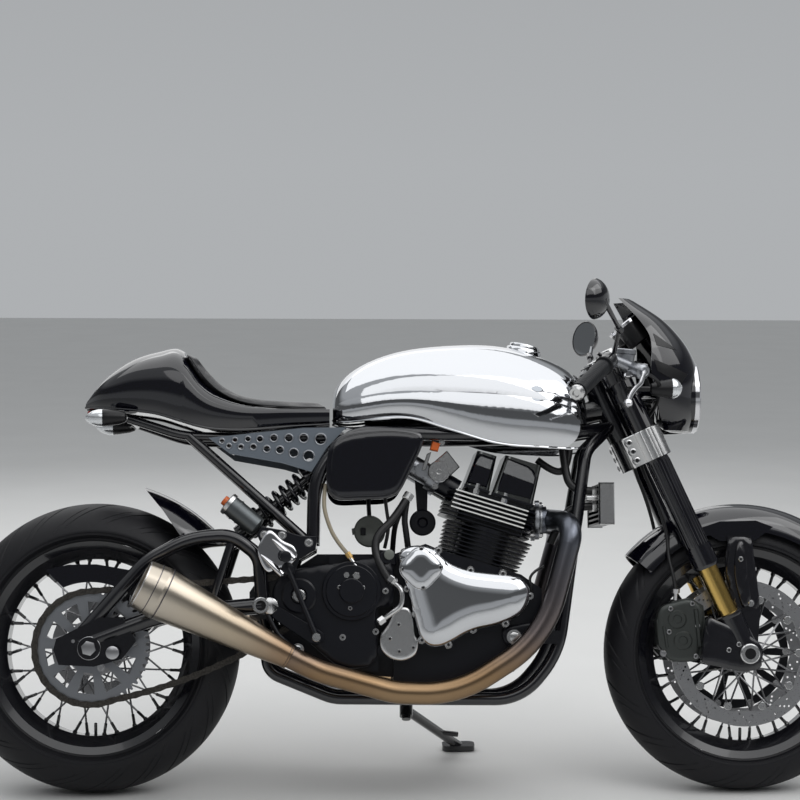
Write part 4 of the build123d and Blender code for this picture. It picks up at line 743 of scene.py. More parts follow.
for spot, way, radius, length in (
        ((-24, -98, 647), (-31, -14, -53), 12, 16), ((-67, -140, 455), (22, -4, 33), 12, 14),
        ((-82, -142, 376), (-16, -6, -12), 9, 16), ((-58, -140, 452), (-10, 6, 12), 9, 14),
        ((-141, -138, 468), (0, -1, 0), 9, 14), ((-162, -138, 470), (0, -1, 0), 8, 12)):
    fittings.turned(spot, way, ((0, radius), (length - 2, radius), (length, radius * 0.8)), 6)
union.turned((-161, -140, 518), (4, 0, -6), ((0, 7), (12, 7), (12, 5), (20, 5)), 6)

# Exhaust: weld beads and the outlet's rim

welds, rims = some_shapes(2)
for lay in (1, -1):
    start = Vector((-284, -174 * lay, 297))
    way = Vector((-311, -56 * lay, 155)).normalized()
    for shape, along, radius, thick, steps in ((welds, 0, 25.2, 1.6, 40), (welds, 5, 26.2, 1.2, 40),
                                               (welds, 300, 57.2, 1.3, 56), (welds, 325, 55.4, 1.1, 56),
                                               (rims, 350.5, 50.6, 1.9, 56)):
        shape.tube(circle(start + way * along, radius, way, steps), thick, 8, closed=True)

pieces("chassis", ("timing_covers", covers, "polished_alloy", "timing_cover"),
       ("gearbox_covers", casting, "black_casting", "gearbox_cover"),
       ("filter_cover", filter_cover, "bright_alloy"), ("engine_plates", mounts, "black_casting"),
       ("fin_edges", edges, "fin_edge"), ("port_flanges", flanges, "grey_alloy"),
       ("rocker_flanges", studs, "black_casting"), ("rocker_panels", panels, "bright_alloy"),
       ("barrel_fin_ends", fins, "black_casting"), ("rocker_caps", caps, "black_gloss"),
       # the black discs in the screws' sockets and recesses are painted shade
       ("engine_screws", screws, "bright_alloy"), ("painted_socket_shade", sockets, "black_plastic"),
       ("throttle_plates", throttle, "bright_alloy"), ("sensor_plug", plug, "orange_cap"),
       ("lines_bright_alloy", fittings, "bright_alloy"), ("lines_brass", union, "brass"),
       ("horn", horn, "horn_grey"), ("horn_and_regulator", dark, "black_casting"),
       ("exhaust_welds", welds, "pipe_steel"), ("outlet_rims", rims, "bright_alloy"))

# Fork: silver clamps of the lower yoke, ribbed outers, feet

FORK_Y = 104
# the fork's black socket discs are painted shade
clamps, fork_bolts, fork_socket_shade, ribs, feet, caliper, caliper_bolts = some_shapes(7)
arc = [pi * k / 24 - 0.80 * pi for k in range(39)]
clamp_line = [(-51, -13.5)] + [(36 * cos(a), 36 * sin(a)) for a in arc] + [(-51, 13.5)]
for out in (RIGHT, LEFT):
    y, hand = FORK_Y * out.y, out.y
    clamps.slab([fork(467, y + aside, ahead) for ahead, aside in clamp_line], UP_FORK, 68, 1.5)
    for ahead in (-14, 0, 14):
        clamps.tube([fork(up, y + 34.92 * hand, ahead) for up in (467, 535)], 2.2, 8)
    for up in (480, 501, 522):
        fork_bolts.bolt(fork(up, y + 13 * hand, -43), out, 7.5, 6, socket=True)
        # a black disc in the bolt's socket: painted shade
        fork_socket_shade.turned(fork(up, y + 19.1 * hand, -43), out, ((0, 4.2), (0.4, 4.2)), 6)
        fork_bolts.bolt(fork(up, y - 13 * hand, -43), -out, 6, 5)
    # Lengthwise ribs of the outers
    for k in range(9):
        angle = radians(-64 + 16 * k) + pi / 2 * hand
        ribs.tube([fork(up, y + 26.4 * sin(angle), 26.4 * cos(angle)) for up in (256, 262, 456, 462)],
                  [0.4, 1.7, 1.7, 0.4], 6)
    fork_bolts.turned(fork(716, y), UP_FORK, ((0, 20), (10, 20), (12, 18), (12, 9), (7, 9)), 24)
    fork_bolts.turned(fork(706, y), UP_FORK, ((0, 27.5), (9, 27.5), (11, 24)), 32)
    ribs.turned(fork(213, y), UP_FORK, ((-8, 23), (-8, 26), (-3, 28.5), (0, 28.5)), 32)
for out in (RIGHT, LEFT):
    fork_bolts.turned(FRONT_AXLE + out * 130, out, ((0, 21.5), (6, 21.5), (8.5, 19), (8.5, 12), (4, 11)), 32)
    # a black disc in the axle's hollow end: painted shade
    fork_socket_shade.turned(FRONT_AXLE + out * 137, out, ((0, 11.6), (0.6, 11.6)), 28)
for x, z, y in ((-8, 205, 86), (13, 109, 84), (-23, 20, 127), (-107, 60, 99), (-45, 8, 127)):
    for out in (RIGHT, LEFT):
        fork_bolts.bolt(point(x, y * out.y, z), out, 5.5, 4, socket=True)
fork_bolts.turned(fork(706, 0, -36), UP_FORK, ((0, 22), (6, 22), (8, 19), (8, 12), (14, 12), (14, 8)), 6)

# Feet: the casting round the axle, the strut to the mudguard with its rib, and collars
for outline, levels in (
        (((25, 18), (27, -8), (22, -32), (-20, -38), (-60, -29), (-98, -20), (-102, -4), (-90, 72), (-70, 72),
          (-20, 50), (8, 34)), (-100, -124.6, -129, 16)),
        (((-40, 170), (-34, 214), (-32, 250), (16, 250), (22, 214), (26, 170), (33, 104), (6, 76), (-18, 88)),
         (-74, -80.3, -84, 9)),
        (((-22, 170), (-16, 236), (2, 236), (8, 170), (14, 112), (0, 100), (-8, 106)), (-80, -84, -88, 5))):
    pillow(feet, *levels, 5, near_axle(rounded(outline, 3)))
feet.turned(fork(86, -FORK_Y), UP_FORK, ((0, 28.3), (3, 30), (8, 30), (10, 27), (10, 22)), 32)

# Calipers: swollen bodies with piston caps and a bridge
pillow(caliper, -80, -94, -101, 12, 5, near_axle(rounded((
    (-196, 72), (-192, 22), (-168, -14), (-120, -17), (-104, -2), (-92, 66), (-95, 98), (-122, 118),
    (-160, 111), (-186, 100)), 5)))
for x, z in ((-152, 74), (-140, 28)):
    caliper.turned(point(x, -97, z), RIGHT, ((0, 21), (4, 21), (7, 18), (7, 10), (5, 9)), 28)
caliper.plate(near_axle(((-186, 60), (-178, 62), (-170, 12), (-178, 10))), -92, 11, 3)
caliper.plate(near_axle(((-116, 96), (-106, 97), (-98, 14), (-108, 12))), -92, 12, 3)
for x, z in ((-166, 97), (-182, 1), (-170, 47), (-118, 108), (-112, -6)):
    caliper_bolts.bolt(point(x, -96, z), RIGHT, 5.5, 8, socket=True)
caliper_bolts.turned(point(-154, -98, 132), (0, -0.3, 1), ((-16, 5), (0, 5), (0, 9), (10, 9), (10, 5)), 12)
for name, length, route in (
        ("caliper_hose", 358, ((-154, 98, 138), (-158, 96, 170), (-168, 88, 210), (-167, 80, 260),
                               (-190, 62, 340), (-224, 50, 420), (-232, 40, 480))),
        ("control_hose", 251, ((-238, 222, 602), (-200, 200, 590), (-186, 130, 560), (-200, 60, 520),
                               (-232, 40, 480)))):
    for suffix, mirror in (("right", -1), ("left", 1)):
        hose(f"{name}_{suffix}", [point(x, y * mirror, z) for x, y, z in route], 4, length, "hose",
             "steering")

# Bars, grips, levers and mirrors

GRIP_IN, GRIP_OUT = point(-323, -240, 614), point(-392, -345, 548)
ALONG_GRIP = (GRIP_OUT - GRIP_IN).normalized()
bars, grip, ends, levers, pumps, mirrors, glasses = some_shapes(7)
bars.turned(fork(650, -FORK_Y), UP_FORK, ((0, 35), (1, 36), (29, 36), (30, 35), (30, 27), (0, 27)), 40)
bars.slab([fork(650 + a, -FORK_Y - 10, b) for a, b in ((0, 30), (30, 30), (30, 50), (0, 50))], LEFT, 20, 2)
bars.tube(flowing([point(-276, -139, 607), point(-290, -178, 622), GRIP_IN - ALONG_GRIP * 40, GRIP_IN,
                   GRIP_OUT + ALONG_GRIP * 4]), 11, 16)
# Switch block
bars.turned(GRIP_IN - ALONG_GRIP * 32, ALONG_GRIP,
            ((0, 16), (2, 19), (14, 20), (15, 18.5), (16, 20), (29, 20), (31, 17)), 28)
for lift, radius in ((15, 4), (4, 5)):
    bars.turned(GRIP_IN - ALONG_GRIP * 17 + Vector((-14, 0, lift)), (-1, -0.3, 0.6),
                ((0, radius), (9, radius)), 12)
# Ribbed grip with its flange, and the bar's end
profile = [(0, 21), (4, 21), (5, 16.2)]
for k in range(17):
    profile += [(8 + 7 * k, 16.4), (10 + 7 * k, 17.2), (12.5 + 7 * k, 17.2), (14 + 7 * k, 16.4)]
profile += [(136, 16.2), (139, 18.5), (141, 18.5)]
stretch = (GRIP_OUT - GRIP_IN).length / 141
grip.turned(GRIP_IN, ALONG_GRIP, [(d * stretch, r) for d, r in profile], 28)
ends.turned(GRIP_OUT + ALONG_GRIP, ALONG_GRIP, ((0, 14), (1, 16.5), (10, 16.5), (14, 13), (14, 8), (10, 6)),
            28)
# Brake pump with its reservoir, lever and adjuster
pumps.tube([point(-300, -204, 630), point(-264, -190, 618)], 12, 16)
pumps.turned(point(-272, -160, 624), (36, -68, -24),
             ((0, 11), (4, 14), (52, 14), (60, 17), (76, 17), (80, 12)), 20)
pumps.turned(point(-270, -168, 622), (0.1, -0.1, 1),
             ((0, 16), (4, 19), (24, 20), (26, 22), (34, 22), (36, 20)), 24)
blade = flowing([point(-236, -206, 608), point(-236, -232, 600), point(-246, -268, 584),
                 point(-256, -300, 568), point(-270, -330, 556), point(-286, -368, 538),
                 point(-296, -402, 521)], 5)
levers.tube(blade, [7.5] * 8 + [5.5] * (len(blade) - 8), 12)
levers.turned(point(-297, -404, 518), (0.05, 0.6, -0.2),
              ((-8, 3), (-7, 6), (-3, 8.6), (0, 9.2), (3, 8.6), (7, 6), (8, 3)), 16)
levers.turned(point(-236, -214, 594), (0.1, -0.1, 1), ((0, 7), (26, 7), (27, 5)), 14)
levers.turned(point(-264, -182, 605), (0, 0, -1), ((0, 9), (8, 9), (10, 7)), 6)
for ahead, lay in ((-354, -1), (-296, 1)):
    middle, foot = point(ahead, lay * 330, 744), point(-292, lay * 252, 690)
    facing = Vector((-0.8, -lay * 0.55, 0.1)).normalized()
    mirrors.turned(middle - facing * 27, facing, (
        (0, 8), (1, 16), (5, 26), (11, 34), (18, 40), (24, 43), (27, 43.4), (28, 42), (27, 40)), 40)
    glasses.turned(middle - facing, facing, ((0, 39), (1.2, 39), (1.6, 30), (2, 0.1)), 40)
    mirrors.tube([middle - facing * 22, middle - facing * 26 - Vector((0, lay * 6, 8)), foot], [7, 6, 5], 12)
    mirrors.turned(foot, foot - middle, ((-8, 8), (6, 8), (8, 6)), 14)
    mirrors.tube([foot, point(-302, lay * 203, 626)], 5, 12)

# Headlamp

LAMP = Vector((632, 0, 868))
shell, rim, bowl, glass, skin, cutter_form, panels = some_shapes(7)
shell.turned(LAMP, FORWARD, ((-100, 30), (-100, 54), (-97, 60), (-84, 71), (-66, 77.5), (-46, 79.5),
                             (-22, 79.5), (-22, 70)), 64)
for out in (RIGHT, LEFT):
    shell.turned(fork(610, out.y * FORK_Y), UP_FORK, ((0, 27), (0, 31), (20, 31), (20, 27)), 32)
    shell.tube([LAMP + Vector((-144, out.y * 98, 0)), LAMP + Vector((-94, out.y * 52, 0))], 8, 14)
rim.turned(LAMP, FORWARD, ((-23, 76), (-22, 79.8), (-13, 79.6), (-10, 77), (-9, 73), (-12, 70)), 64)
bowl.turned(LAMP, FORWARD, ((-72, 2), (-70, 20), (-60, 40), (-40, 60), (-13, 71.5)), 64)
bowl.turned(LAMP, FORWARD, ((-70, 9), (-34, 9), (-30, 5)), 20)
glass.turned(LAMP, FORWARD, ((-12, 71), (-9, 66), (-5.5, 50), (-2.6, 30), (-1, 12), (-0.6, 0.2)), 64)

# Fairing: the source's levels, joined by a smooth skin and cut round the lamp

LEVELS = (  # above the lamp's centre, nose and rear from the lamp's glass, half width
    (-78, -26, -91, 62), (-48, -4, -104, 94), (2, 2, -116, 113), (52, -3, -126, 118), (94, -18, -124, 115),
    (132, -42, -128, 103), (176, -84, -154, 82), (220, -150, -186, 44),
)
FAIRING_WALL, AROUND = 4, 40


def nose_arc(nose, rear, half):
    """The radius and middle of the arc round the nose that is as wide as twice half at the rear."""
    bend = ((nose - rear) ** 2 + half * half) / (2 * (nose - rear))
    return bend, nose - bend


def fairing_row(height, nose, rear, half, inset):
    """An arc round the nose at one level, set in by a wall."""
    bend, middle = nose_arc(nose - inset, rear, half - inset)
    reach = atan2(half - inset, rear - middle)
    return [LAMP + Vector((middle + bend * cos(reach * t), -bend * sin(reach * t), height))
            for t in [2 * k / AROUND - 1 for k in range(AROUND + 1)]]


def on_fairing(x, z, lay, off):
    """The point of the fairing's skin beside a point of the side view."""
    height = z - LAMP.z
    row = min(stations, key=lambda r: abs(r[0] - height))
    nearer = next((r for r in stations if r[0] > row[0]), row)
    t = 0 if nearer is row else (height - row[0]) / (nearer[0] - row[0])
    bend, middle = nose_arc(*(a + (b - a) * t for a, b in zip(row[1:], nearer[1:])))
    aside = max(0.0, bend * bend - (x - LAMP.x - middle) ** 2) ** 0.5
    return Vector((x, lay * (aside + off), z))


levels = flowing([(nose, rear, height) for height, nose, rear, half in LEVELS], 6)
halves = flowing([(half, 0, 0) for height, nose, rear, half in LEVELS], 6)
stations = [(level.z, level.x, level.y, half.x) for level, half in zip(levels, halves)]
outer, inner = [[fairing_row(*row, inset) for row in stations] for inset in (0, FAIRING_WALL)]
skin.grid(outer)
skin.grid(inner)
for near, far in ((outer[0], inner[0]), (outer[-1], inner[-1]),
                  ([r[0] for r in outer], [r[0] for r in inner]),
                  ([r[-1] for r in outer], [r[-1] for r in inner])):
    skin.grid([near, far])
fairing = piece("fairing_shell", skin, "black_gloss", "fairing", "steering")
cutter_form.turned(LAMP + Vector((-73, 0, 0)), FORWARD, ((0, 80.6), (120, 80.6)), 96)
cutter = bpy.data.objects.new("cutter", solid_mesh("cutter", cutter_form))
scene.collection.objects.link(cutter)
cut = fairing.modifiers.new("lamp_hole", "BOOLEAN")
cut.operation = "DIFFERENCE"
cut.object = cutter
cut.solver = "EXACT"
opened = evaluated(fairing)
fairing.modifiers.clear()
fairing.data = opened
bpy.data.objects.remove(cutter)
opened.set_sharp_from_angle(angle=CREASE)

for lay in (-1, 1):
    for outline in (  # in the side view, from the lamp's glass and centre
            ((-118, 134), (-64, 97), (-112, 106)),
            ((-120, 74), (-40, 44), (-56, 24), (-90, 36), (-112, 48))):
        dense = []
        for k, (x, z) in enumerate(outline):
            after = outline[(k + 1) % len(outline)]
            dense += [(LAMP.x + x + (after[0] - x) * s / 8,
                       LAMP.z + z + (after[1] - z) * s / 8) for s in range(8)]
        (x, wide), (z, tall) = extent(dense)
        spots = [(x + 2.5 + 5 * i, z + 2.5 + 5 * k)
                 for i in range(int(wide / 5)) for k in range(int(tall / 5))]
        found, faces = filled(dense, [Vector(p) for p in dense], spots, 2)
        panels.add([on_fairing(p.x, p.y, lay, 0.9) for p in found], faces)

# Indicators and instruments

lamps, clear, dials, dial_faces, bezels, guard = some_shapes(6)
lamps.tube(flowing([point(-259, -135, 572), point(-257, -156, 572), point(-244, -160, 572),
                    point(-210, -160, 572)], 6), 6, 12)
lamps.turned(point(-214, -160, 572), FORWARD, ((0, 7), (3, 12), (12, 15.5), (30, 19), (46, 22), (48, 20)), 32)
clear.turned(point(-167, -160, 573), FORWARD, ((0, 21.6), (4, 22.4), (11, 20), (18, 14), (22, 7), (23, 0.2)),
             32)
facing = Vector((-0.62, 0, 0.785))
for lay in (-1, 1):
    dial = point(-246, lay * 38, 730)
    dials.turned(dial - facing * 52, facing, ((0, 14), (0, 26), (3, 30), (50, 30)), 40)
    bezels.turned(dial - facing * 3, facing, ((0, 31), (1, 33.5), (7, 33.5), (9, 31.5), (9, 29), (6, 28.5)),
                  40)
    dial_faces.turned(dial + facing * 2, facing, ((0, 28.6), (1, 28.6), (1.4, 20), (1.6, 0.2)), 40)
    dials.tube([dial + facing * 5, dial + facing * 5 + facing.cross(LEFT) * 20 + LEFT * lay * 9], 1.2, 6)
    dials.turned(dial + facing * 3, facing, ((0, 5), (3, 5), (4, 4)), 16)
dials.tube([point(-220, -38, 696), point(-220, 38, 696)], 9, 14)
dials.tube([fork(722, 0, -2), point(-220, 0, 696)], 7, 12)
dials.turned(fork(706, 0, -2), UP_FORK, ((0, 8), (22, 8)), 16)

# Beads along the front mudguard's mouths
for angle in (52, 139):
    spans = [2 * k / 32 - 1 for k in range(33)]
    guard.tube([around(FRONT_AXLE, 328 - 60 * abs(s) ** 2.6, radians(angle), 72 * s) for s in spans], 2.4, 8)

pieces("steering", ("yoke_clamps", clamps, "bright_alloy"), ("fork_ribs", ribs, "black_gloss"),
       # the black discs among these pieces are painted shade in sockets and the axle's ends
       ("fork_bolts", fork_bolts, "bright_alloy"), ("fork_socket_shade", fork_socket_shade, "black_plastic"),
       ("foot_castings", feet.both(), "black_paint"), ("caliper_bodies", caliper.both(), "caliper_paint"),
       ("caliper_bolts", caliper_bolts.both(), "bolt_steel"),
       ("bars", bars.both(), "black_paint", "handlebars"), ("mirrors", mirrors, "black_gloss"),
       ("mirror_glasses", glasses, "mirror_glass"), ("ribbed_grips", grip.both(), "grip_rubber", "grips"),
       ("bar_ends", ends.both(), "bright_alloy"), ("levers", levers.both(), "chrome"),
       ("pumps", pumps.both(), "grey_alloy"), ("lamp_shell", shell, "black_gloss", "headlamp"),
       ("lamp_rim", rim, "chrome"), ("lamp_bowl", bowl, "reflector"), ("lamp_glass", glass, "lens"),
       ("fairing_panels", panels, "black_plastic"),
       ("indicator_bodies", lamps.both(), "black_plastic", "front_indicators"),
       ("indicator_lenses", clear.both(), "pale_lens"),
       ("dial_cases", dials, "black_plastic", "instruments"), ("dial_bezels", bezels, "chrome"),
       ("dial_faces", dial_faces, "dial_face"), ("mudguard_beads", guard, "black_gloss"))


# Tank: beads and the filler cap

CAP, CAP_TILT = Vector((232, 0, 958)), radians(14)
CAP_UP = Vector((sin(CAP_TILT), 0, cos(CAP_TILT)))
trim, shell, pad_form, seams = some_shapes(4)
for lay in (-1, 1):
    trim.tube(flowing([(x, lay * y, z - 1) for x, y, z in (
        (-192, 55, 812), (-165, 81, 806), (-100, 95, 812), (-20, 106, 813), (70, 118, 786), (170, 125, 757),
        (270, 121, 749), (330, 107, 747), (364, 85, 751))]), 2.6, 8)
trim.turned(CAP, CAP_UP, ((8, 40), (17, 39.5), (19, 38), (20, 34.5), (24, 34.5), (27.6, 33), (28.6, 30),
                          (28.4, 18), (27.6, 17), (27.6, 7), (28.6, 6), (28.6, 0.2)), 64)
for k in range(6):
    angle = pi * k / 3 + 0.3
    trim.turned(CAP + CAP_UP * 19 + CAP_UP.cross(LEFT) * 36.6 * cos(angle) + LEFT * 36.6 * sin(angle), CAP_UP,
                ((-2, 1.9), (1.6, 1.9), (1.6, 0.9), (0.4, 0.9)), 10)

# Seat: the shell and its pad

SHELL = (  # x, half width, height of the bottom and of the top
    (-739, 22, 842, 856), (-700, 66, 838, 905), (-640, 90, 832, 948), (-580, 104, 824, 968),
    (-527, 112, 808, 972), (-480, 118, 794, 910), (-440, 120, 788, 880), (-380, 120, 787, 860),
    (-290, 116, 794, 855), (-199, 104, 800, 852),
)
PAD_LOW = flat_flow(((-527, 982), (-514, 956), (-480, 902), (-440, 864), (-380, 840), (-290, 832),
                     (-190, 832)), 8)
PAD_TOP = flat_flow(((-516, 960), (-505, 959), (-466, 911), (-430, 879), (-378, 857), (-290, 849),
                     (-203, 846)), 8)
PAD_HALF = ((-516, 90), (-450, 104), (-380, 107), (-290, 101), (-203, 90))
PAD_STEPS, PAD_VOXEL, PAD_CAP = 30, 0.005, 0.004


def along(table, x):
    """A table's second column read between its rows, by the first column."""
    for low, high in zip(table, table[1:]):
        if low[0] <= x <= high[0]:
            return low[1] + (high[1] - low[1]) * (x - low[0]) / (high[0] - low[0])
    return table[0][1] if x < table[0][0] else table[-1][1]


smooth = [(p.x, q.x, p.y, p.z) for p, q in zip(flowing([(x, low, high) for x, half, low, high in SHELL], 6),
                                               flowing([(half, 0, 0) for x, half, low, high in SHELL], 6))]
smooth.append((-520, 112.5, 806, 968))
smooth.sort()
rows = []
for x, half, low, high in smooth:
    limit = along(PAD_LOW, x) if x > -527 else 2000
    shoulder, foot = low + 0.45 * (high - low), low + 0.12 * (high - low)
    section = [(-half * 0.9, low), (0, low), (half * 0.9, low), (half * 0.97, foot), (half, shoulder)]
    for k in range(1, 24):
        angle = pi * k / 24
        section.append((half * cos(angle), shoulder + (high - shoulder) * sin(angle) ** 0.85))
    section += [(-half, shoulder), (-half * 0.97, foot)]
    rows.append([Vector((x, y, min(z, limit))) for y, z in section])
shell.grid(rows, closed=True, ends=True)
for lay in (-1, 1):
    shell.tube([(x, lay * half * 0.9, low - 0.5) for x, half, low, high in smooth], 3.2, 8)
rows = []
for k in range(61):
    x = -514 + 311 * k / 60
    half, low, high = along(PAD_HALF, x) - 2, along(PAD_LOW, x) + 1, along(PAD_TOP, x)
    end = min(1, (x + 518) / 10, (-199 - x) / 8) ** 0.5
    row = [Vector((x, half * (1 - 2 * j / PAD_STEPS), low)) for j in range(PAD_STEPS + 1)]
    for j in range(1, PAD_STEPS):
        across = -1 + 2 * j / PAD_STEPS
        swell = (1 - abs(across) ** 5) ** 0.5 * max(0.25, end)
        row.append(Vector((x, half * across, low + (high - low) * swell)))
    rows.append(row)
pad_form.grid(rows, closed=True, ends=True)
for lay in (-1, 1):
    path = []
    for k in range(41):
        x = -506 + 296 * k / 40
        low, high = along(PAD_LOW, x), along(PAD_TOP, x)
        path.append(Vector((x, lay * (along(PAD_HALF, x) - 1), low + 0.35 * (high - low))))
    seams.tube(path, 1.6, 6)


def puff(soft, voxel, cap):
    """Remeshes a padded piece, lets it swell under pressure and caps how far each point moves."""
    remesh = soft.modifiers.new("remesh", "REMESH")
    remesh.mode = "VOXEL"
    remesh.voxel_size = voxel
    mesh = evaluated(soft)
    soft.modifiers.clear()
    soft.data = mesh
    cloth = soft.modifiers.new("cloth", "CLOTH")
    cloth.settings.use_pressure = True
    cloth.settings.uniform_pressure_force = 4
    cloth.settings.effector_weights.gravity = 0
    cloth.settings.quality = 5
    for step in range(1, 21):
        scene.frame_set(step)
    swollen = evaluated(soft)
    soft.modifiers.clear()
    for vertex, moved in zip(mesh.vertices, swollen.vertices):
        shift = moved.co - vertex.co
        if shift.length > cap:
            shift = shift * cap / shift.length
        vertex.co += shift
    bpy.data.meshes.remove(swollen)
    scene.frame_set(1)
    soft.modifiers.new("finer", "SUBSURF").levels = 1
    final = evaluated(soft)
    soft.modifiers.clear()
    soft.data = final
    final.polygons.foreach_set("use_smooth", [True] * len(final.polygons))


pad = piece("seat_cushion", pad_form, "pad_leather", "seat_pad")
puff(pad, PAD_VOXEL, PAD_CAP)

# Side covers and drilled plates

side_cover, hole_rims = some_shapes(2)
cover_line = rounded((
    (-206, 690), (-204, 726), (-196, 752), (-176, 771), (-146, 780), (-108, 785), (-70, 787), (-36, 785),
    (-8, 780), (3, 771), (4, 757), (-4, 735), (-24, 694), (-42, 658), (-56, 643), (-80, 635), (-130, 633),
    (-178, 632), (-198, 644), (-205, 664)))
pillow(side_cover, -119, -127, -133, 26, 6, cover_line)
for shrink, y in ((0.93, -130.6), (0.90, -131.4)):  # raised rim, about the cover's middle
    side_cover.tube([(-101 + (x + 101) * shrink, y, 711 + (z - 711) * shrink) for x, z in cover_line], 1.3, 6,
                    closed=True)
side_cover.tube([(-20, -108, 772), (-20, -126, 772)], 6, 12)
for x, z, radius in (
        (-432.8, 761.1, 4.8), (-404.6, 763.3, 5.0), (-376.5, 765.4, 5.4), (-350.5, 765.4, 6.3),
        (-320.2, 767.6, 7.4), (-287.7, 767.6, 8.2), (-255.3, 767.6, 9.1), (-218.4, 765.4, 11.5),
        (-417.6, 750.3, 4.8), (-391.6, 748.2, 5.4), (-364.6, 748.2, 6.1), (-335.4, 743.8, 6.9),
        (-307.2, 741.7, 7.8), (-276.9, 735.2, 9.3), (-244.4, 728.7, 11.2)):
    hole_rims.turned((x, -114.6, z), RIGHT, ((0, radius + 2.4), (1.4, radius + 2.0), (1.8, radius + 0.8),
                                             (1.0, radius - 0.4), (-3, radius - 0.6)), 24)
hole_rims.faces = [face for face in hole_rims.faces if len(face) < 20]

# Shock absorbers: damper, spring and remote reservoir

foot, head = Vector((-414, -60, 545)), Vector((-225, -60, 701))
length, way = (head - foot).length, (head - foot).normalized()
damper, spring, canister, knobs, dial = some_shapes(5)
damper.turned(foot, way, ((0, 12), (20, 12), (22, 20), (58, 20), (58, 28), (62, 29), (74, 29), (76, 27),
                          (76, 19), (120, 19), (122, 10), (length - 34, 10), (length - 34, 27),
                          (length - 32, 29), (length - 22, 29), (length - 20, 14), (length, 12)), 32)
for eye in (foot, head):
    damper.turned(eye - LEFT * 15, LEFT, ((0, 10), (0, 15), (30, 15), (30, 10), (0, 10)), 24)
helix = []
for k in range(131):  # six and a half turns
    angle = 2 * pi * k / 20
    helix.append(foot + way * (81 + (length - 120) * k / 130) + way.cross(LEFT) * 24 * cos(angle)
                 + LEFT * 24 * sin(angle))
spring.tube(helix, 4.6, 10)
can_foot, can_top = Vector((-352, -122, 571)), Vector((-414, -122, 622))
can_way = (can_top - can_foot).normalized()
canister.turned(can_foot, can_way, ((0, 14), (2, 20), (6, 23), (60, 23), (60, 24.5), (64, 24.5), (64, 23),
                                    (80, 23)),
                32)
knobs.turned(can_top, can_way, ((-2, 25.5), (6, 25.5), (8, 23), (8, 8)), 32)
damper.tube(flowing([(-376, -72, 587), (-381, -96, 592), (-383, -110, 596)], 6), 9, 12)
dial.turned(can_top + can_way * 8, can_way, ((0, 11), (9, 11), (10, 9)), 12)

# Foot controls

plates, backing, pegs, pivots = some_shapes(4)
backing.plate(((-226, 552), (-228, 524), (-262, 505), (-274, 472), (-296, 464), (-322, 486), (-354, 556),
               (-346, 574), (-300, 566), (-262, 554)), -159.5, 7, 1.5)
backing.turned((-243, -129, 539), RIGHT, ((0, 12), (31, 12)), 24)
pillow(plates, -167, -171, -174, 8, 5, rounded((
    (-326, 566), (-345, 544), (-352, 520), (-344, 492), (-330, 476), (-314, 481), (-290, 486), (-268, 508),
    (-275, 531), (-300, 544))))
for a, b in ((Vector((-321, -175.5, 546)), Vector((-274, -182, 504))),
             (Vector((-345, -175.5, 513)), Vector((-299, -182, 470)))):
    plates.tube([a + (b - a) * k / 8 for k in range(9)] + [b + (b - a).normalized() * 2],
                [1.2, 3.2, 4.8, 5.8, 6.5, 7, 7.3, 7.4, 6.8, 3.5], 14)
pegs.turned((-296, -163, 511), RIGHT, ((0, 13), (19, 13)), 24)
knurl = [(0, 10)]
for k in range(9):
    knurl += [(6 + 8 * k, 10), (8 + 8 * k, 11.4), (11 + 8 * k, 11.4), (13 + 8 * k, 10)]
pegs.turned((-296, -180, 511), (6, -80, -4), knurl + [(78, 10), (80, 12), (84, 12), (85, 10)], 24)
pegs.tube([(-288, -172, 484), (-256, -174, 410), (-226, -178, 338)], [6.5, 5.5, 6.5], 12)
pegs.turned((-288, -163, 484), RIGHT, ((0, 13), (13, 13), (14, 11)), 24)
backing.plate(((-322, 411), (-222, 354), (-211, 345), (-210, 330), (-222, 321), (-238, 323), (-312, 372),
               (-322, 382)), -142, 10, 2)
backing.tube(flowing([(-330, -150, 384), (-308, -152, 344), (-284, -150, 322), (-264, -144, 310)], 6), 5.5,
             12)
pivots.turned((-226, -164, 338), RIGHT, ((0, 8), (8, 8), (8, 9.8), (34, 9.8), (36, 8.4), (36, 6), (33, 6)),
              24)
pivots.turned((-226, -197, 338), RIGHT, ((0, 3), (3, 3)), 6)
for x, z in ((-243, 539), (-300, 555), (-338, 556)):
    pivots.bolt((x, -166, z), RIGHT, 6.5, 5, socket=True)

# Rear axle, its adjusters, and the lamps on the tail

axle_nuts, tail, tail_clear, tail_red, core, tanks = some_shapes(6)
for out in (RIGHT, LEFT):
    at = REAR_AXLE + out * 152
    axle_nuts.turned(at, out, ((-2, 25), (3, 25), (4, 23)), 32)
    axle_nuts.bolt(at + out * 3, out, 16, 12)
    axle_nuts.turned((-658, 150 * out.y, 306), out,
                     ((0, 7), (6, 7), (6, 14), (10, 14), (12, 9), (22, 9), (24, 14), (28, 14), (29, 12)), 24)
    axle_nuts.bolt((-684, 150 * out.y, 274), out, 6, 6, socket=True)
    axle_nuts.bolt((-744, 148 * out.y, 330), out, 5, 5)
    tail.tube([(-650, 60 * out.y, 812), (-650, 112 * out.y, 812)], 6, 12)
    tail.turned((-640, 112 * out.y, 812), BACK,
                ((0, 6), (3, 11), (14, 15), (34, 18), (50, 19.6), (52, 18.6)), 32)
    tail_clear.turned((-691, 112 * out.y, 811), BACK,
                      ((0, 19.4), (9, 19.2), (22, 16), (32, 10), (38, 4), (39, 0.2)), 32)
tail.slab([(-713, y, z) for y, z in ((-28, 816), (28, 816), (28, 836), (-28, 836))], BACK, 14, 1)
tail_red.slab([(-726, y, z) for y, z in ((-26, 818), (26, 818), (26, 834), (-26, 834))], BACK, 9, 3)

# Oil cooler

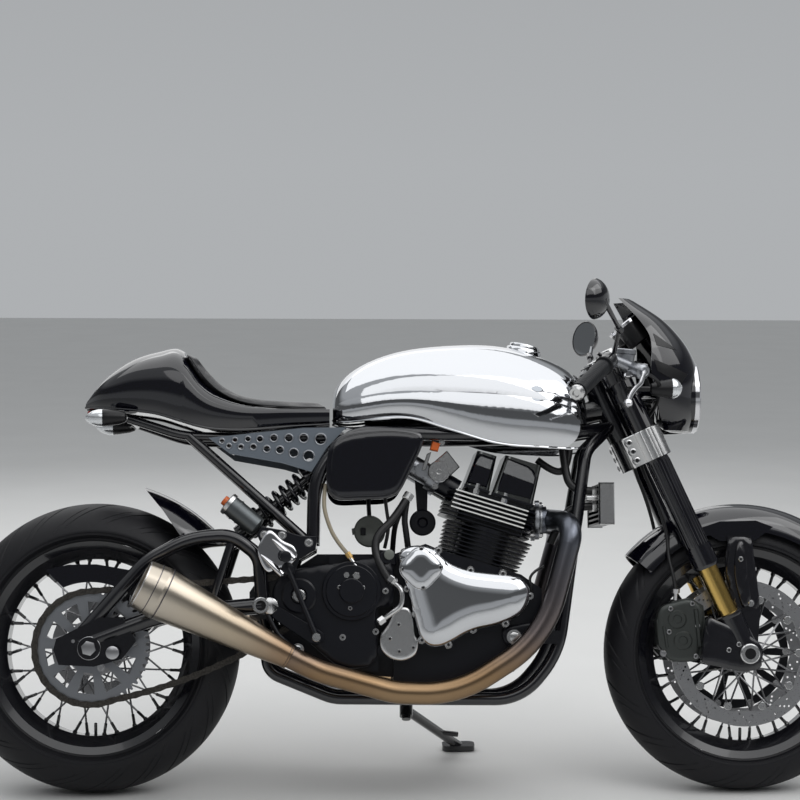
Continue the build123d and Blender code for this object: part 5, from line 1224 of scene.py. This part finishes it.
for row in range(9):
    z = 584 + 10.5 * row
    core.slab([(391, -98, z), (421, -98, z), (421, 98, z), (391, 98, z)], UP, 4, base=-2)
    if row < 8:
        zigzag = [(-97 + 3 * k, z + (2.2 if k % 2 else 8.2)) for k in range(66)]
        core.grid([[Vector((x, y, h)) for y, h in zigzag] for x in (392, 420)])
for out in (RIGHT, LEFT):
    tanks.slab([(x, 98 * out.y, z) for x, z in ((389, 580), (423, 580), (423, 672), (389, 672))], out, 12, 4)
    tanks.tube([(395, 66 * out.y, 640), (367, 66 * out.y, 640)], 7, 12)
for z in (622, 655):
    tanks.turned((380, -56, z), FORWARD, ((0, 12), (10, 12), (10, 9), (16, 9)), 6)

pieces("chassis", ("tank_trim", trim, "polished_alloy"),
       ("seat_shell_smooth", shell, "black_gloss", "seat_shell"), ("seat_piping", seams, "pad_leather"),
       ("side_cover_shells", side_cover.both(), "black_gloss", "side_covers"),
       ("hole_rims", hole_rims.both(), "grey_alloy"), ("dampers", damper.both(), "black_paint", "shocks"),
       ("springs", spring.both(), "black_gloss"), ("canisters", canister.both(), "canister_grey"),
       ("canister_caps", knobs.both(), "bright_alloy"), ("canister_dials", dial.both(), "orange_cap"),
       ("heel_plates", plates.both(), "chrome", "rearsets"),
       ("rearset_plates", backing.both(), "black_casting"), ("foot_pegs", pegs.both(), "black_casting"),
       ("pedal_pivots", pivots.both(), "bright_alloy"), ("axle_nuts", axle_nuts, "bolt_steel"),
       ("tail_housings", tail, "black_plastic", "rear_lamps"), ("tail_lenses", tail_clear, "pale_lens"),
       ("tail_lamp", tail_red, "red_lens"), ("cooler_core", core, "black_casting", "oil_cooler"),
       ("cooler_tanks", tanks, "bright_alloy"))


def set_camera():
    right = Vector((cos(CAMERA_YAW), sin(CAMERA_YAW), 0))
    level = Vector((-sin(CAMERA_YAW), cos(CAMERA_YAW), 0))
    ahead = level * cos(CAMERA_PITCH) - UP * sin(CAMERA_PITCH)
    up = right.cross(ahead)
    rolled_right = right * cos(CAMERA_ROLL) + up * sin(CAMERA_ROLL)
    rolled_up = up * cos(CAMERA_ROLL) - right * sin(CAMERA_ROLL)
    camera = bpy.data.objects.new("camera", bpy.data.cameras.new("camera"))
    camera.data.lens = LENS_MM
    camera.data.sensor_width = SENSOR_MM
    camera.matrix_world = Matrix.Translation(CAMERA_AT) @ Matrix(
        (rolled_right, rolled_up, -ahead)).transposed().to_4x4()
    scene.collection.objects.link(camera)
    scene.camera = camera


def set_stage():
    floor = bpy.data.meshes.new("floor")
    floor.from_pydata([(-14, -14, 0), (14, -14, 0), (14, 14, 0), (-14, 14, 0)], [], [(0, 1, 2, 3)])
    floor.materials.append(material("floor_grey", (0.70, 0.70, 0.69), roughness=0.75, grain=3, shade=0.015))
    stage = bpy.data.objects.new("floor", floor)
    stage.location.z = -0.0005
    scene.collection.objects.link(stage)
    stage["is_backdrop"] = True


def set_light():
    scene.world = bpy.data.worlds.new("studio")
    scene.world.use_nodes = True
    tree = scene.world.node_tree
    sky = tree.nodes["Background"]
    sky.inputs["Strength"].default_value = 0.75
    # Height of the look direction: a pale backdrop low down, a dark band that black parts mirror, the ceiling
    tones = ((0.0, 0.60), (0.09, 0.56), (0.15, 0.15), (0.38, 0.14), (0.55, 0.62), (1.0, 0.72))
    split = grow(tree, "SeparateXYZ", [("Vector", grow(tree, "TexCoord").outputs["Generated"])])
    stops = [(height, (0.94 * tone, 0.97 * tone, tone)) for height, tone in tones]
    tree.links.new(ramp(tree, stops, split.outputs["Z"]), sky.inputs["Color"])
    for name, place, size, power in (
            ("overhead", (0.2, 0.3, 3.4), (6.0, 4.0), 78), ("front", (0.4, -3.0, 3.6), (5.0, 2.4), 36),
            ("nose", (2.4, -1.3, 3.1), (3.0, 2.2), 28), ("back", (-0.8, 3.6, 2.6), (4.4, 2.4), 34)):
        lamp = bpy.data.lights.new(name, "AREA")
        lamp.shape = "RECTANGLE"
        lamp.size, lamp.size_y = size
        lamp.energy = power
        holder = bpy.data.objects.new(name, lamp)
        holder.location = place
        holder.rotation_mode = "QUATERNION"
        holder.rotation_quaternion = (Vector(place) - UP * 0.5).to_track_quat("Z", "Y")
        scene.collection.objects.link(holder)


set_camera()
set_stage()
set_light()
scene.view_settings.view_transform = "Standard"

low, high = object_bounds()
list(low)
list(high)
